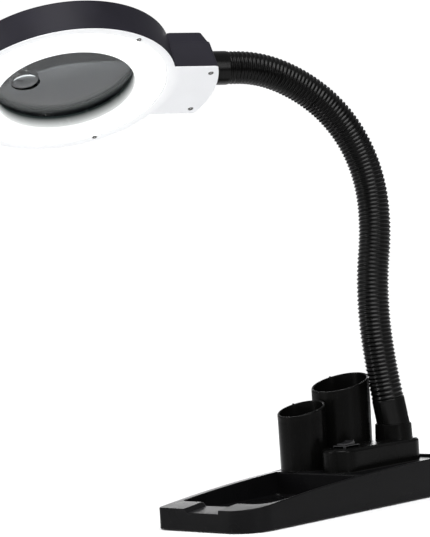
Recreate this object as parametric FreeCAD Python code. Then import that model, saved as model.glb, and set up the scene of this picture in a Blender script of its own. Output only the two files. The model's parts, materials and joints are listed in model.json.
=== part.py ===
import FreeCAD, Part
import math
import os

from FreeCAD import Placement, Rotation, Vector

# Magnifying lamp: a weighted base with a tool tray and two cut-off pen cups, a flexible corrugated
# neck, and a ring-lit magnifier head with a flip-up lens cover.
#
# Row frame, in millimetres: +Z is up, and the origin is on the desk under the centre of the base.
# -Y is the front (the tray end), +X is the side that the base's round corners are on.

# ---------------------------------------------------------------- driving dimensions: base
PAD_T = 0.8                 # foam pad that the base stands on
BASE_W = 80.0
BASE_L = 214.0
BASE_FRONT = -BASE_L / 2
BASE_REAR = BASE_L / 2
ROUND_R = 21.0              # the two corners on the +X side
SHARP_R = 4.0               # the two corners on the -X side
RIM_FRONT_Z = 14.6          # the rim climbs in one long curve from front to rear
RIM_LEAD = 6.0              # the curve starts this far ahead of the front wall, where it is
RIM_LEAD_DROP = 0.75        # this much lower
RIM_MID_Z = 23.15
RIM_REAR_Z = 26.0
RIM_CURVE_L = 190.0
SKIN = 2.4                  # moulded wall of the base
PLATFORM_Z = 24.2           # deck that carries the cups and the neck boss
PLATFORM_Y = BASE_FRONT + 113.0
TRAY_FLOOR_Z = 8.0
TRAY_FLOOR_T = 1.8
TRAY_FRONT_Y = BASE_FRONT + 19.0
FAR_RIM_W = 5.4             # broad rim on the -X side and at the front
NEAR_RIM_W = 1.8            # thin rim on the +X side
REST_X = (-17.0, 13.0)      # pen rest cut through the front rim
REST_DEPTH = 2.4
REST_RAMP = 4.0
COVER_T = 2.0
GAP = 0.3                   # between loose neighbours
SCREW_R = 1.25
POST_R = 3.4

# ---------------------------------------------------------------- driving dimensions: cups and boss
CUP_WALL = 1.5
CUP_FLOOR = 2.0
CUP_SLANT = math.radians(14.0)      # the mouths are cut off, low at the front
CUP_SPIGOT_R = 5.0
SMALL_CUP = dict(x=-22.7, y=21.8, foot_r=16.2, top_r=16.5, top_z=65.6)
BIG_CUP = dict(x=-19.5, y=60.9, foot_r=19.9, top_r=20.1, top_z=80.0)
BOSS_X = 12.0
BOSS_R = 13.2
BOSS_Y = (19.6, 82.8)               # centres of its two round ends
BOSS_TOP_Z = 39.8
BOSS_SKIN = 2.2
BOSS_EDGE_R = 2.5
TIER_R = (12.8, 12.4)               # stepped socket for the neck, foot and top radius
SWITCH_XY = (12.0, 25.0)
SWITCH_SIZE = (10.5, 16.0)
ROCKER_SIZE = (7.4, 12.4)
ROCKER_TILT = 8.0
SOCKET_XZ = (-14.0, 12.0)           # power inlet in the rear wall

# ---------------------------------------------------------------- driving dimensions: neck
NECK_ROOT = Vector(12.0, 77.0, 50.5)
NECK_TURN = 62.0            # heading of the neck's own vertical plane, degrees from +X to the rear
SLEEVE_R = 11.0
SLEEVE_GROOVE_R = 10.3
SLEEVE_BORE_R = 8.2
RIDGE_PITCH = 2.65
CORE_R = 4.5
CORE_BORE_R = 1.9
COLLAR_L = 18.0
COLLAR_FOOT = 3.4           # how far the lower collar drops into its socket
SOCKET_FIT = 0.6            # room round the collar, so that it can lean
ROOT_L = 42.0               # neck root to the first bend
LINK_L = 30.3               # from one bend to the next
END_L = 33.5                # last bend to the head
# Lean of each link from upright, towards the head, as the neck is set in use.
LEANS = (9.2, 5.6, -1.2, -8.4, 1.7, 17.4, 34.4, 52.0, 67.3, 88.8)
BALL_R = 9.6
BALL_GAP = 0.3
BALL_UP = 4.2               # how far the ball reaches past a bend
LIP_UP = 3.2                # where the next sleeve starts, past a bend
SHOULDER = 1.8              # where the sleeve stops, short of a bend
CORE_GAP = 2.2

# ---------------------------------------------------------------- driving dimensions: head
HEAD_ROLL = 28.4            # the head is turned about the neck's end, to show its underside
HEAD_PITCH = 1.2
HEAD_R = 72.6
HEAD_H = 22.4
HEAD_SKIN = 2.2
HEAD_TOP_R = 1.6            # rounding of the top edge
BLOCK_Y = (-27.0, 31.0)     # the block is wider on the side away from the cups
BLOCK_START_X = 40.0        # well inside the round part
BLOCK_SIDE_X = 98.0
BLOCK_END_X = 103.0         # its end is gently bowed, and leans in as it rises
BLOCK_DRAFT = 0.13
BLOCK_H = 20.0
HUMP_X = (64.5, 95.0)       # raised roof of the block: foot, then flat top
HUMP_TOP_X = (68.0, 93.0)
HUMP_FOOT_IN = 0.6
HUMP_TOP_IN = 4.4
HUMP_Z = 29.6
NECK_AXIS_Z = 15.9
WHITE_T = 1.4               # thickness of the white underside cover
WHITE_LIP_T = 0.5           # its edge is thinner, and laps under the shell's wall
DIFFUSER_R = (50.3, 66.4)
BEZEL_R = (45.4, 50.1)
LENS_R = 49.7
LENS_EDGE_Z = (9.5, 12.5)
LENS_SAG = (3.0, 3.4)
INSET_XY = (-26.0, 0.0)
INSET_R = 9.5
BOARD_R = (51.4, 66.1)
BOARD_Z = (6.0, 7.6)
LED_COUNT = 60
LED_SIZE = (3.5, 2.8, 0.8)
LED_RING_R = 60.0
RING_SCREW_R = 68.3
RING_POST_R = 1.85          # fits between the light and the outer wall
RING_SCREW_ANGLES = (60.0, 180.0, 300.0)
BLOCK_SCREWS = ((94.5, -18.5), (93.0, 25.5))
BOARD_POST_ANGLES = (0.0, 120.0, 240.0)
BOARD_POST_R = 55.8
CLAMP_WALL_X = (89.0, 91.2)  # wall inside the block that the neck's nut pulls on
LID_R = 54.0
LID_Z = 22.7
LID_T = 2.2
HINGE_X = 60.5
HINGE_Z = 25.5
PIN_R = 1.2
PIN_FIT = 0.05

NODES = {}


# ---------------------------------------------------------------- small helpers
def add(node, *solids):
    """Keep one node: one solid, or several loose solids of the same kind."""
    NODES[node] = solids[0] if len(solids) == 1 else Part.makeCompound(list(solids))


def box(x, y, z):
    return Part.makeBox(x[1] - x[0], y[1] - y[0], z[1] - z[0], Vector(x[0], y[0], z[0]))


def cyl(r, z0, z1, x=0.0, y=0.0):
    return Part.makeCylinder(r, z1 - z0, Vector(x, y, z0))


def cone(r0, r1, z0, z1, x=0.0, y=0.0):
    return Part.makeCone(r0, r1, z1 - z0, Vector(x, y, z0))


def rod(r, x0, x1, y=0.0, z=0.0):
    return Part.makeCylinder(r, x1 - x0, Vector(x0, y, z), Vector(1, 0, 0))


def ring(r_in, r_out, z0, z1):
    return cyl(r_out, z0, z1).cut(cyl(r_in, z0 - 1, z1 + 1))


def fuse(first, *others):
    return first.multiFuse(list(others)).removeSplitter()


def spin(points):
    """Solid of revolution about Z from an outline of (radius, height) points."""
    path = [Vector(r, 0, z) for r, z in points]
    face = Part.Face(Part.makePolygon(path + path[:1]))
    return face.revolve(Vector(0, 0, 0), Vector(0, 0, 1), 360)


def slab(x, y, radii, z0, z1):
    """Upright plate with its own corner radius at (+x,-y), (+x,+y), (-x,+y) and (-x,-y)."""
    corners = ((x[1], y[0]), (x[1], y[1]), (x[0], y[1]), (x[0], y[0]))
    starts = (270, 0, 90, 180)
    edges = []
    ends = []
    for (cx, cy), radius, start in zip(corners, radii, starts):
        mx = cx - math.copysign(radius, cx - sum(x) / 2)
        my = cy - math.copysign(radius, cy - sum(y) / 2)
        turn = [math.radians(start + part) for part in (0, 45, 90)]
        arc = [Vector(mx + radius * math.cos(a), my + radius * math.sin(a), z0) for a in turn]
        edges.append(Part.Arc(*arc).toShape())
        ends.append((arc[0], arc[2]))
    sides = []
    for i in range(4):
        sides += [edges[i], Part.LineSegment(ends[i][1], ends[(i + 1) % 4][0]).toShape()]
    return Part.Face(Part.Wire(sides)).extrude(Vector(0, 0, z1 - z0))


def stadium(x, ys, r, z0, z1):
    body = box((x - r, x + r), ys, (z0, z1))
    return fuse(body, cyl(r, z0, z1, x, ys[0]), cyl(r, z0, z1, x, ys[1]))


def polar(r, degrees):
    return r * math.cos(math.radians(degrees)), r * math.sin(math.radians(degrees))


def hex_nut(across, bore, z0, z1):
    corners = [polar(across / math.sqrt(3), 60 * i) for i in range(7)]
    wire = Part.makePolygon([Vector(x, y, z0) for x, y in corners])
    body = Part.Face(wire).extrude(Vector(0, 0, z1 - z0))
    return body.cut(cyl(bore, z0 - 1, z1 + 1))


def wire_run(points, r):
    """Short internal lead: straight runs with a round elbow at each point."""
    path = [Vector(*p) for p in points]
    parts = [Part.makeSphere(r, p) for p in path[1:-1]]
    for a, b in zip(path, path[1:]):
        parts.append(Part.makeCylinder(r, (b - a).Length, a, b - a))
    return fuse(parts[0], *parts[1:])


def screw(x, y, head_z, head_t, tip_z, head_r=2.7, shank_r=SCREW_R):
    """Screw driven upwards: a shallow head with a cross recess, and a plain shank."""
    head = cone(head_r * 0.86, head_r, head_z, head_z + head_t, x, y)
    shank = cyl(shank_r, head_z + head_t, tip_z, x, y)
    slot = head_r * 0.55
    cut_a = box((x - slot, x + slot), (y - 0.3, y + 0.3), (head_z - 1, head_z + 0.5))
    cut_b = box((x - 0.3, x + 0.3), (y - slot, y + slot), (head_z - 1, head_z + 0.5))
    return fuse(head, shank).cut(cut_a).cut(cut_b)


# ---------------------------------------------------------------- base
def base_outline(inset, z0, z1):
    x = (-BASE_W / 2 + inset, BASE_W / 2 - inset)
    y = (BASE_FRONT + inset, BASE_REAR - inset)
    big = ROUND_R - inset
    small = max(SHARP_R - inset, 1.0)
    return slab(x, y, (big, big, small, small), z0, z1)


def above_rim(drop=0.0, x=(-60.0, 60.0)):
    """Everything above the rim's side profile, lowered by drop."""
    top = 60.0
    front = Vector(x[0], BASE_FRONT - RIM_LEAD, RIM_FRONT_Z - RIM_LEAD_DROP - drop)
    middle = Vector(x[0], BASE_FRONT + RIM_CURVE_L / 2, RIM_MID_Z - drop)
    rear = Vector(x[0], BASE_FRONT + RIM_CURVE_L, RIM_REAR_Z - drop)
    beyond = [Vector(x[0], BASE_REAR + 10, RIM_REAR_Z - drop), Vector(x[0], BASE_REAR + 10, top)]
    ahead = [Vector(x[0], front.y, top)]
    edges = [Part.Arc(front, middle, rear).toShape()]
    path = [rear] + beyond + ahead + [front]
    edges += [Part.LineSegment(a, b).toShape() for a, b in zip(path, path[1:])]
    return Part.Face(Part.Wire(edges)).extrude(Vector(x[1] - x[0], 0, 0))


COVER_SCREWS = ((-33.0, -98.0), (24.0, -98.0), (-33.5, 0.0), (33.5, 0.0), (-33.0, 99.0), (23.0, 98.0))


def make_base_shell():
    shell = base_outline(0.0, PAD_T, 40.0).cut(above_rim())
    tray_x = (-BASE_W / 2 + FAR_RIM_W, BASE_W / 2 - NEAR_RIM_W)
    tray = slab(tray_x, (TRAY_FRONT_Y, PLATFORM_Y), (14.0, 3.0, 3.0, 2.0), TRAY_FLOOR_Z, 60.0)
    deck_x = (-BASE_W / 2 + NEAR_RIM_W, BASE_W / 2 - NEAR_RIM_W)
    deck_r = ROUND_R - NEAR_RIM_W
    deck = slab(deck_x, (PLATFORM_Y, BASE_REAR - NEAR_RIM_W), (1.0, deck_r, 2.2, 1.0), PLATFORM_Z, 60.0)
    shell = shell.cut(tray).cut(deck)
    # Pen rest: a shallow channel through the front rim, its -X side ramped.
    rest = above_rim(REST_DEPTH, REST_X)
    rest = rest.common(box((-60, 60), (BASE_FRONT - 5, TRAY_FRONT_Y + 2), (0, 60)))
    ramp = [Vector(REST_X[0], 0, 0), Vector(REST_X[0] + REST_RAMP, 0, 0), Vector(REST_X[0], 0, 9.0)]
    wedge = Part.Face(Part.makePolygon(ramp + ramp[:1])).extrude(Vector(0, 60, 0))
    wedge.Placement = Placement(Vector(0, BASE_FRONT - 10, RIM_FRONT_Z - REST_DEPTH - 1.2), Rotation())
    shell = shell.cut(rest.cut(wedge))
    # Underside: shallow under the tray, deep under the deck.
    hollow = base_outline(SKIN, PAD_T - 1, TRAY_FLOOR_Z - TRAY_FLOOR_T)
    rear_y = (PLATFORM_Y + SKIN, BASE_REAR - SKIN)
    deep = slab((-BASE_W / 2 + SKIN, BASE_W / 2 - SKIN), rear_y, (2.0, ROUND_R - SKIN, 1.6, 2.0),
                TRAY_FLOOR_Z - TRAY_FLOOR_T - 1, PLATFORM_Z - SKIN)
    front_y = (BASE_FRONT + SKIN, TRAY_FRONT_Y - SKIN)
    nose = slab((-BASE_W / 2 + SKIN, BASE_W / 2 - ROUND_R), front_y, (2.0, 2.0, 2.0, 1.6), 4.0, 10.0)
    shell = shell.cut(hollow).cut(deep).cut(nose)
    for x, y in COVER_SCREWS:
        if y < -50:
            ceiling = 10.5
        elif y > 50:
            ceiling = PLATFORM_Z - 1.0
        else:
            ceiling = TRAY_FLOOR_Z - 1.0
        post = cyl(POST_R, PAD_T + COVER_T + 0.05, ceiling, x, y)
        shell = fuse(shell, post)
    for x, y in COVER_SCREWS:
        shell = shell.cut(cyl(SCREW_R + 0.05, 0, 5.6 if abs(y) < 50 else 9.0, x, y))
    # A round seat for each cup, and holes through the deck for its spigot and for the leads.
    for cup in (SMALL_CUP, BIG_CUP):
        shell = shell.cut(cyl(cup["foot_r"] + GAP, PLATFORM_Z, RIM_REAR_Z + 1, cup["x"], cup["y"]))
        shell = shell.cut(cyl(CUP_SPIGOT_R + 0.05, 15, 40, cup["x"], cup["y"]))
    shell = shell.cut(stadium(BOSS_X, (40.0, BOSS_Y[1] - 2), 8.5, 15, 40))
    sx, sz = SOCKET_XZ
    inlet = Part.makeCylinder(4.6, 10, Vector(sx, BASE_REAR - 6, sz), Vector(0, 1, 0))
    add("base_shell", shell.cut(inlet))


def make_base_cover():
    cover = base_outline(SKIN + GAP, PAD_T, PAD_T + COVER_T)
    for x, y in COVER_SCREWS:
        cover = cover.cut(cyl(1.6, 0, 5, x, y)).cut(cyl(3.0, 0, PAD_T + 1.3, x, y))
    add("base_cover", cover)
    add("base_pad", base_outline(4.0, 0.0, PAD_T))
    screws = []
    for x, y in COVER_SCREWS:
        tip = 5.2 if abs(y) < 50 else 8.4
        screws.append(screw(x, y, PAD_T + 0.1, 1.1, tip, head_r=2.7))
    add("base_screws", *screws)


def make_ballast():
    under_tray = box((-36.5, 36.5), (-82.0, 2.5), (PAD_T + COVER_T + 0.1, TRAY_FLOOR_Z - TRAY_FLOOR_T - 0.1))
    for x in (-33.5, 33.5):
        under_tray = under_tray.cut(cyl(POST_R + GAP, 0, 10, x, 0.0))
    add("ballast_plate", under_tray)
    add("ballast_block", box((-35.0, 35.0), (12.0, 62.0), (PAD_T + COVER_T + 0.1, 13.0)))


def make_cup(node, cup):
    x, y = cup["x"], cup["y"]
    rise = math.tan(CUP_SLANT)
    tall = cup["top_z"] + cup["top_r"] * rise + 4
    flare = (cup["top_r"] - cup["foot_r"]) / (cup["top_z"] - PLATFORM_Z)
    outer_top = cup["foot_r"] + flare * (tall - PLATFORM_Z)
    outer = cone(cup["foot_r"], outer_top, PLATFORM_Z, tall, x, y)
    inner = cone(cup["foot_r"] - CUP_WALL, outer_top - CUP_WALL, PLATFORM_Z + CUP_FLOOR, tall + 1, x, y)
    spigot = cyl(CUP_SPIGOT_R, PLATFORM_Z - SKIN - 0.6, PLATFORM_Z + 1, x, y)
    body = fuse(outer.cut(inner), spigot)
    knife = Part.makeBox(80, 80, 40, Vector(-40, -40, 0))
    slant = Rotation(Vector(1, 0, 0), math.degrees(CUP_SLANT))
    knife.Placement = Placement(Vector(x, y, cup["top_z"]), slant)
    add(node, body.cut(knife))


def make_boss():
    skin = BOSS_SKIN
    outer = stadium(BOSS_X, BOSS_Y, BOSS_R, PLATFORM_Z + 0.02, BOSS_TOP_Z)
    rim = [e for e in outer.Edges if all(abs(v.Z - BOSS_TOP_Z) < 0.01 for v in e.Vertexes)]
    outer = outer.makeFillet(BOSS_EDGE_R, rim)
    tier = cone(TIER_R[0], TIER_R[1], BOSS_TOP_Z - 3, NECK_ROOT.z, NECK_ROOT.x, NECK_ROOT.y)
    inner = stadium(BOSS_X, BOSS_Y, BOSS_R - skin, PLATFORM_Z - 1, BOSS_TOP_Z - skin)
    for cup in (SMALL_CUP, BIG_CUP):
        r = cup["foot_r"] + 0.8
        outer = outer.cut(cyl(r, PLATFORM_Z - 1, BOSS_TOP_Z + 9, cup["x"], cup["y"]))
        inner = inner.cut(cyl(r + skin, PLATFORM_Z - 2, BOSS_TOP_Z, cup["x"], cup["y"]))
    boss = fuse(outer, tier).cut(inner)
    socket_r = SLEEVE_R + 0.3 + SOCKET_FIT
    boss = boss.cut(cyl(socket_r, NECK_ROOT.z - 5.5, NECK_ROOT.z + 1, NECK_ROOT.x, NECK_ROOT.y))
    boss = boss.cut(cyl(CORE_R + 2.4, BOSS_TOP_Z - 5, NECK_ROOT.z, NECK_ROOT.x, NECK_ROOT.y))
    sx, sy = SWITCH_XY
    w, l = ROCKER_SIZE
    slot = box((sx - w / 2 - 0.9, sx + w / 2 + 0.9), (sy - l / 2 - 0.9, sy + l / 2 + 0.9), (30, 45))
    add("neck_boss", boss.cut(slot))


def make_switch():
    sx, sy = SWITCH_XY
    bw, bl = SWITCH_SIZE
    w, l = ROCKER_SIZE
    top = BOSS_TOP_Z
    bezel = slab((sx - bw / 2, sx + bw / 2), (sy - bl / 2, sy + bl / 2), (1.2,) * 4, top + 0.02, top + 1.6)
    can = box((sx - w / 2 - 0.8, sx + w / 2 + 0.8), (sy - l / 2 - 0.8, sy + l / 2 + 0.8), (27.5, top + 0.5))
    well = box((sx - w / 2 - 0.1, sx + w / 2 + 0.1), (sy - l / 2 - 0.1, sy + l / 2 + 0.1), (33.0, top + 5))
    body = fuse(bezel, can).cut(well)
    pivot_z = top + 0.2
    bore = rod(PIN_R + PIN_FIT, sx - w / 2 - 0.6, sx + w / 2 + 0.6, y=sy, z=pivot_z)
    add("switch_body", body.cut(bore))
    # The rocker's top is a shallow V, so that one half lies flat when the other is pressed.
    half = l / 2 - 0.5
    lift = 2.6
    rise = math.tan(math.radians(ROCKER_TILT)) * half
    foot = half - 0.9
    side = [(-half, lift + rise), (0, lift), (half, lift + rise), (foot, -3.2), (0, -4.6), (-foot, -3.2)]
    wire = Part.makePolygon([Vector(-w / 2 + 0.3, y, z) for y, z in side + side[:1]])
    rocker = Part.Face(wire).extrude(Vector(w - 0.6, 0, 0))
    rocker = fuse(rocker, rod(PIN_R, -w / 2 - 0.5, w / 2 + 0.5))
    rocker.Placement = Placement(Vector(sx, sy, pivot_z), Rotation(Vector(1, 0, 0), ROCKER_TILT))
    add("switch_rocker", rocker)
    pins = [box((sx - 0.4, sx + 0.4), (sy + dy - 1.5, sy + dy + 1.5), (24.6, 27.4)) for dy in (-3.8, 3.8)]
    add("switch_terminals", *pins)


def make_power_socket():
    sx, sz = SOCKET_XZ
    rear = BASE_REAR
    can = box((sx - 5.5, sx + 5.5), (rear - SKIN - 13.3, rear - SKIN - GAP), (sz - 5.2, sz + 5.2))
    along = Vector(0, 1, 0)
    barrel = Part.makeCylinder(4.4, 4.4, Vector(sx, rear - SKIN - 2, sz), along)
    bore = Part.makeCylinder(2.8, 14, Vector(sx, rear - 11, sz), along)
    add("power_socket", fuse(can, barrel).cut(bore))
    add("power_socket_pin", Part.makeCylinder(1.0, 9.5, Vector(sx, rear - 10.9, sz), along))


def make_base_lead():
    sx, sz = SOCKET_XZ
    start = (sx, BASE_REAR - SKIN - 14.0, sz + 1)
    root = NECK_ROOT
    lead_up = [start, (sx + 6, 78.0, 17.0), (root.x + 2.6, 76.0, 20.0), (root.x + 2.6, 81.6, 25.0)]
    add("power_lead", wire_run(lead_up, 1.3))
    sw_x, sw_y = SWITCH_XY
    switch_run = [(sw_x, sw_y + 8.0, 24.6), (sw_x, 44.0, 22.6), (root.x, 68.0, 26.0)]
    add("switch_lead", wire_run(switch_run, 1.3))


# ---------------------------------------------------------------- neck
heading = math.radians(NECK_TURN)
TO_HEAD = Vector(-math.cos(heading), -math.sin(heading), 0)
BEND_AXIS = Vector(math.sin(heading), -math.cos(heading), 0)


def lean_direction(lean):
    a = math.radians(lean)
    return TO_HEAD * math.sin(a) + Vector(0, 0, 1) * math.cos(a)


def neck_points():
    """The neck root, the nine bends, and the neck's end in the head."""
    points = [NECK_ROOT]
    for length, lean in zip([ROOT_L] + [LINK_L] * 8 + [END_L], LEANS):
        points.append(points[-1] + lean_direction(lean) * length)
    return points


def along_link(shape, start, lean):
    """Stand a shape that was built up the Z axis on a point of the neck, leaning like its link."""
    turn = Rotation(Vector(0, 0, 1), lean_direction(lean))
    shape.Placement = Placement(start, turn)
    return shape


def ridged_tube(z0, z1):
    """Corrugated sleeve wall: narrow rounded ridges, with grooves between them."""
    count = int((z1 - z0) // RIDGE_PITCH)
    pitch = (z1 - z0) / count
    outline = [(SLEEVE_BORE_R, z0), (SLEEVE_GROOVE_R, z0)]
    for i in range(count):
        foot = z0 + i * pitch
        outline += [(SLEEVE_R, foot + 0.25 * pitch), (SLEEVE_R, foot + 0.65 * pitch)]
        outline += [(SLEEVE_GROOVE_R, foot + 0.85 * pitch), (SLEEVE_GROOVE_R, foot + pitch)]
    outline += [(SLEEVE_BORE_R, z1)]
    return spin(outline)


def sleeve(length, socket=True, ball=True, start=None, stop=None):
    z0 = LIP_UP if start is None else start
    z1 = length - SHOULDER if stop is None else stop
    body = ridged_tube(z0, z1)
    if socket:
        body = body.cut(Part.makeSphere(BALL_R + BALL_GAP))
    if ball:
        zone = Part.makeSphere(BALL_R, Vector(0, 0, length))
        zone = zone.common(cyl(BALL_R + 1, length - SHOULDER - 1.2, length + BALL_UP))
        bore = cone(6.6, 7.1, length - SHOULDER - 3, length + BALL_UP + 0.5)
        body = fuse(body, zone).cut(bore)
    return body


def core(z0, z1):
    return cyl(CORE_R, z0, z1).cut(cyl(CORE_BORE_R, z0 - 1, z1 + 1))


def make_neck():
    points = neck_points()
    nut_low, nut_high = -22.0, -15.5
    collar = spin([(8.6, -COLLAR_FOOT), (SLEEVE_R + 0.3, -COLLAR_FOOT), (SLEEVE_R + 0.3, 1.2),
                   (SLEEVE_R + 0.1, COLLAR_L - 0.6), (SLEEVE_R - 0.4, COLLAR_L), (8.6, COLLAR_L)])
    add("neck_collar", along_link(collar, points[0], LEANS[0]))
    nut = hex_nut(16.0, CORE_R + 0.05, nut_low, nut_high)
    add("neck_nut", along_link(nut, points[0], LEANS[0]))
    add("neck_sleeve_0", along_link(sleeve(ROOT_L, socket=False, start=COLLAR_L + 0.05), points[0], LEANS[0]))
    add("neck_core_0", along_link(core(nut_low - 1.5, ROOT_L - CORE_GAP), points[0], LEANS[0]))
    for i in range(1, 9):
        add(f"neck_sleeve_{i}", along_link(sleeve(LINK_L), points[i], LEANS[i]))
        add(f"neck_core_{i}", along_link(core(CORE_GAP, LINK_L - CORE_GAP), points[i], LEANS[i]))
    collar_in_head = 11.0
    last = sleeve(END_L, ball=False, stop=END_L - collar_in_head - 0.05)
    add("neck_sleeve_9", along_link(last, points[9], LEANS[9]))
    add("neck_core_9", along_link(core(CORE_GAP, END_L + 19.5), points[9], LEANS[9]))
    return points[-1]


# ---------------------------------------------------------------- head, built flat and then placed
def head_placement(tip):
    """Head frame: x towards the neck, z out of the top, origin at the lens centre, underside level."""
    turn = Rotation(Vector(0, 0, 1), NECK_TURN)
    turn = turn.multiply(Rotation(Vector(0, 1, 0), HEAD_PITCH))
    turn = turn.multiply(Rotation(Vector(1, 0, 0), -HEAD_ROLL))
    return Placement(tip - turn.multVec(Vector(BLOCK_END_X, 0, NECK_AXIS_Z)), turn)


def block(inset, z0, z1):
    """Neck block: straight sides and a bowed end, drawn in towards the top."""
    def outline(z):
        low, high = BLOCK_Y[0] + inset, BLOCK_Y[1] - inset
        side = BLOCK_SIDE_X - inset - BLOCK_DRAFT * z
        end = BLOCK_END_X - inset - BLOCK_DRAFT * z
        start, near = Vector(BLOCK_START_X, low, z), Vector(side, low, z)
        far, back = Vector(side, high, z), Vector(BLOCK_START_X, high, z)
        edges = [
            Part.LineSegment(start, near).toShape(),
            Part.Arc(near, Vector(end, (low + high) / 2, z), far).toShape(),
            Part.LineSegment(far, back).toShape(),
            Part.LineSegment(back, start).toShape(),
        ]
        return Part.Wire(edges)
    return Part.makeLoft([outline(z0), outline(z1)], True, True)


def hump(inset, z0, z1):
    """Raised roof of the block, with sloping sides."""
    def rect(xs, edge, z):
        x0, x1 = xs[0] + inset, xs[1] - inset
        y0, y1 = BLOCK_Y[0] + edge + inset, BLOCK_Y[1] - edge - inset
        corners = [Vector(x0, y0, z), Vector(x1, y0, z), Vector(x1, y1, z), Vector(x0, y1, z)]
        return Part.makePolygon(corners + corners[:1])
    return Part.makeLoft([rect(HUMP_X, HUMP_FOOT_IN, z0), rect(HUMP_TOP_X, HUMP_TOP_IN, z1)], True, True)


def head_outer():
    foot_z = WHITE_LIP_T + 0.02
    disc = cone(HEAD_R, HEAD_R - 0.5, foot_z, HEAD_H)
    edge = [e for e in disc.Edges if all(abs(v.Z - HEAD_H) < 0.01 for v in e.Vertexes) and e.Length > 100]
    disc = disc.makeFillet(HEAD_TOP_R, edge)
    return fuse(disc, block(0.0, foot_z, BLOCK_H), hump(0.0, BLOCK_H - 0.5, HUMP_Z))


def make_head_shell(outer):
    skin = HEAD_SKIN
    cavity = fuse(cyl(HEAD_R - skin - 0.3, 0, HEAD_H - 2.0),
                  block(skin, 0, BLOCK_H - skin),
                  hump(skin, BLOCK_H - skin - 0.5, HUMP_Z - skin))
    barrel = ring(LENS_R + 0.15, LENS_R + 2.4, LENS_EDGE_Z[0] - 0.1, HEAD_H - 1)
    cavity = cavity.cut(barrel)
    shell = outer.cut(cavity).cut(cyl(LENS_R - 1.2, 5, 40))
    posts = []
    for a in RING_SCREW_ANGLES:
        posts.append(cyl(RING_POST_R, WHITE_T + 0.05, HEAD_H - 1, *polar(RING_SCREW_R, a)))
    for x, y in BLOCK_SCREWS:
        posts.append(cyl(2.6, WHITE_T + 0.05, BLOCK_H - 1, x, y))
    for a in BOARD_POST_ANGLES:
        posts.append(cyl(2.3, BOARD_Z[1] + 0.05, HEAD_H - 1, *polar(BOARD_POST_R, a)))
    clamp_wall = box(CLAMP_WALL_X, (BLOCK_Y[0] + 1, BLOCK_Y[1] - 1), (4.5, BLOCK_H - 1))
    clamp_top = box(CLAMP_WALL_X, (-12.0, 12.0), (BLOCK_H - 2, HUMP_Z - 1.5))
    clamp_top = clamp_top.common(hump(0.5, BLOCK_H - 0.5, HUMP_Z))
    posts += [clamp_wall, clamp_top]
    shell = fuse(shell, *posts)
    for a in RING_SCREW_ANGLES:
        shell = shell.cut(cyl(1.05, 0, 12, *polar(RING_SCREW_R, a)))
    for x, y in BLOCK_SCREWS:
        shell = shell.cut(cyl(1.05, 0, 12, x, y))
    for a in BOARD_POST_ANGLES:
        shell = shell.cut(cyl(1.05, 0, 14, *polar(BOARD_POST_R, a)))
    shell = shell.cut(rod(CORE_R + 0.3, 86, 110, z=NECK_AXIS_Z))
    lugs = []
    for y0 in (-14.5, 9.5):
        foot = box((HINGE_X - 2.6, HINGE_X + 2.6), (y0, y0 + 5.0), (HEAD_H - 0.5, HINGE_Z))
        eye = Part.makeCylinder(2.6, 5.0, Vector(HINGE_X, y0, HINGE_Z), Vector(0, 1, 0))
        lugs += [foot, eye]
    shell = fuse(shell, *lugs)
    bore = Part.makeCylinder(PIN_R + PIN_FIT, 40, Vector(HINGE_X, -20, HINGE_Z), Vector(0, 1, 0))
    return shell.cut(bore)


def make_underside():
    inside = HEAD_SKIN + GAP
    lip = fuse(cyl(HEAD_R - 0.2, 0, WHITE_LIP_T), block(0.2, 0, WHITE_LIP_T))
    plug = fuse(cyl(HEAD_R - inside - 0.2, 0, WHITE_T), block(inside, 0, WHITE_T))
    plate = fuse(lip, plug)
    plate = plate.cut(cyl(DIFFUSER_R[1] + 0.15, -1, 3))
    for x, y in [polar(RING_SCREW_R, a) for a in RING_SCREW_ANGLES] + list(BLOCK_SCREWS):
        plate = plate.cut(cyl(1.3, -1, 3, x, y)).cut(cyl(2.1, -1, 0.7, x, y))
    return plate


def make_bezel():
    """White tube around the opening; the lens rests on its sloped upper face."""
    inner, outer = BEZEL_R
    seat_r = LENS_R + 2.3
    outline = [(inner, 1.0), (inner + 1.0, 0.0), (outer, 0.0), (outer, 4.0), (seat_r, 4.0)]
    outline += [(seat_r, LENS_EDGE_Z[0] - 0.35), (inner, LENS_EDGE_Z[0] - 0.65)]
    return spin(outline)


def make_lens(r, low, high, sag_low, sag_high, x=0.0, y=0.0):
    """Biconvex lens: an edge from low to high, with a dome of each sag outside it."""
    def halfway(sag):
        ball = (r * r + sag * sag) / (2 * sag)
        return sag - ball + math.sqrt(ball * ball - r * r / 4)
    pole_low = Vector(0, 0, low - sag_low)
    pole_high = Vector(0, 0, high + sag_high)
    edge = [Vector(r, 0, low), Vector(r, 0, high)]
    edges = [
        Part.Arc(pole_low, Vector(r / 2, 0, low - halfway(sag_low)), edge[0]).toShape(),
        Part.LineSegment(edge[0], edge[1]).toShape(),
        Part.Arc(edge[1], Vector(r / 2, 0, high + halfway(sag_high)), pole_high).toShape(),
        Part.LineSegment(pole_high, pole_low).toShape(),
    ]
    lens = Part.Face(Part.Wire(edges)).revolve(Vector(0, 0, 0), Vector(0, 0, 1), 360)
    lens.translate(Vector(x, y, 0))
    return lens


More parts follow.
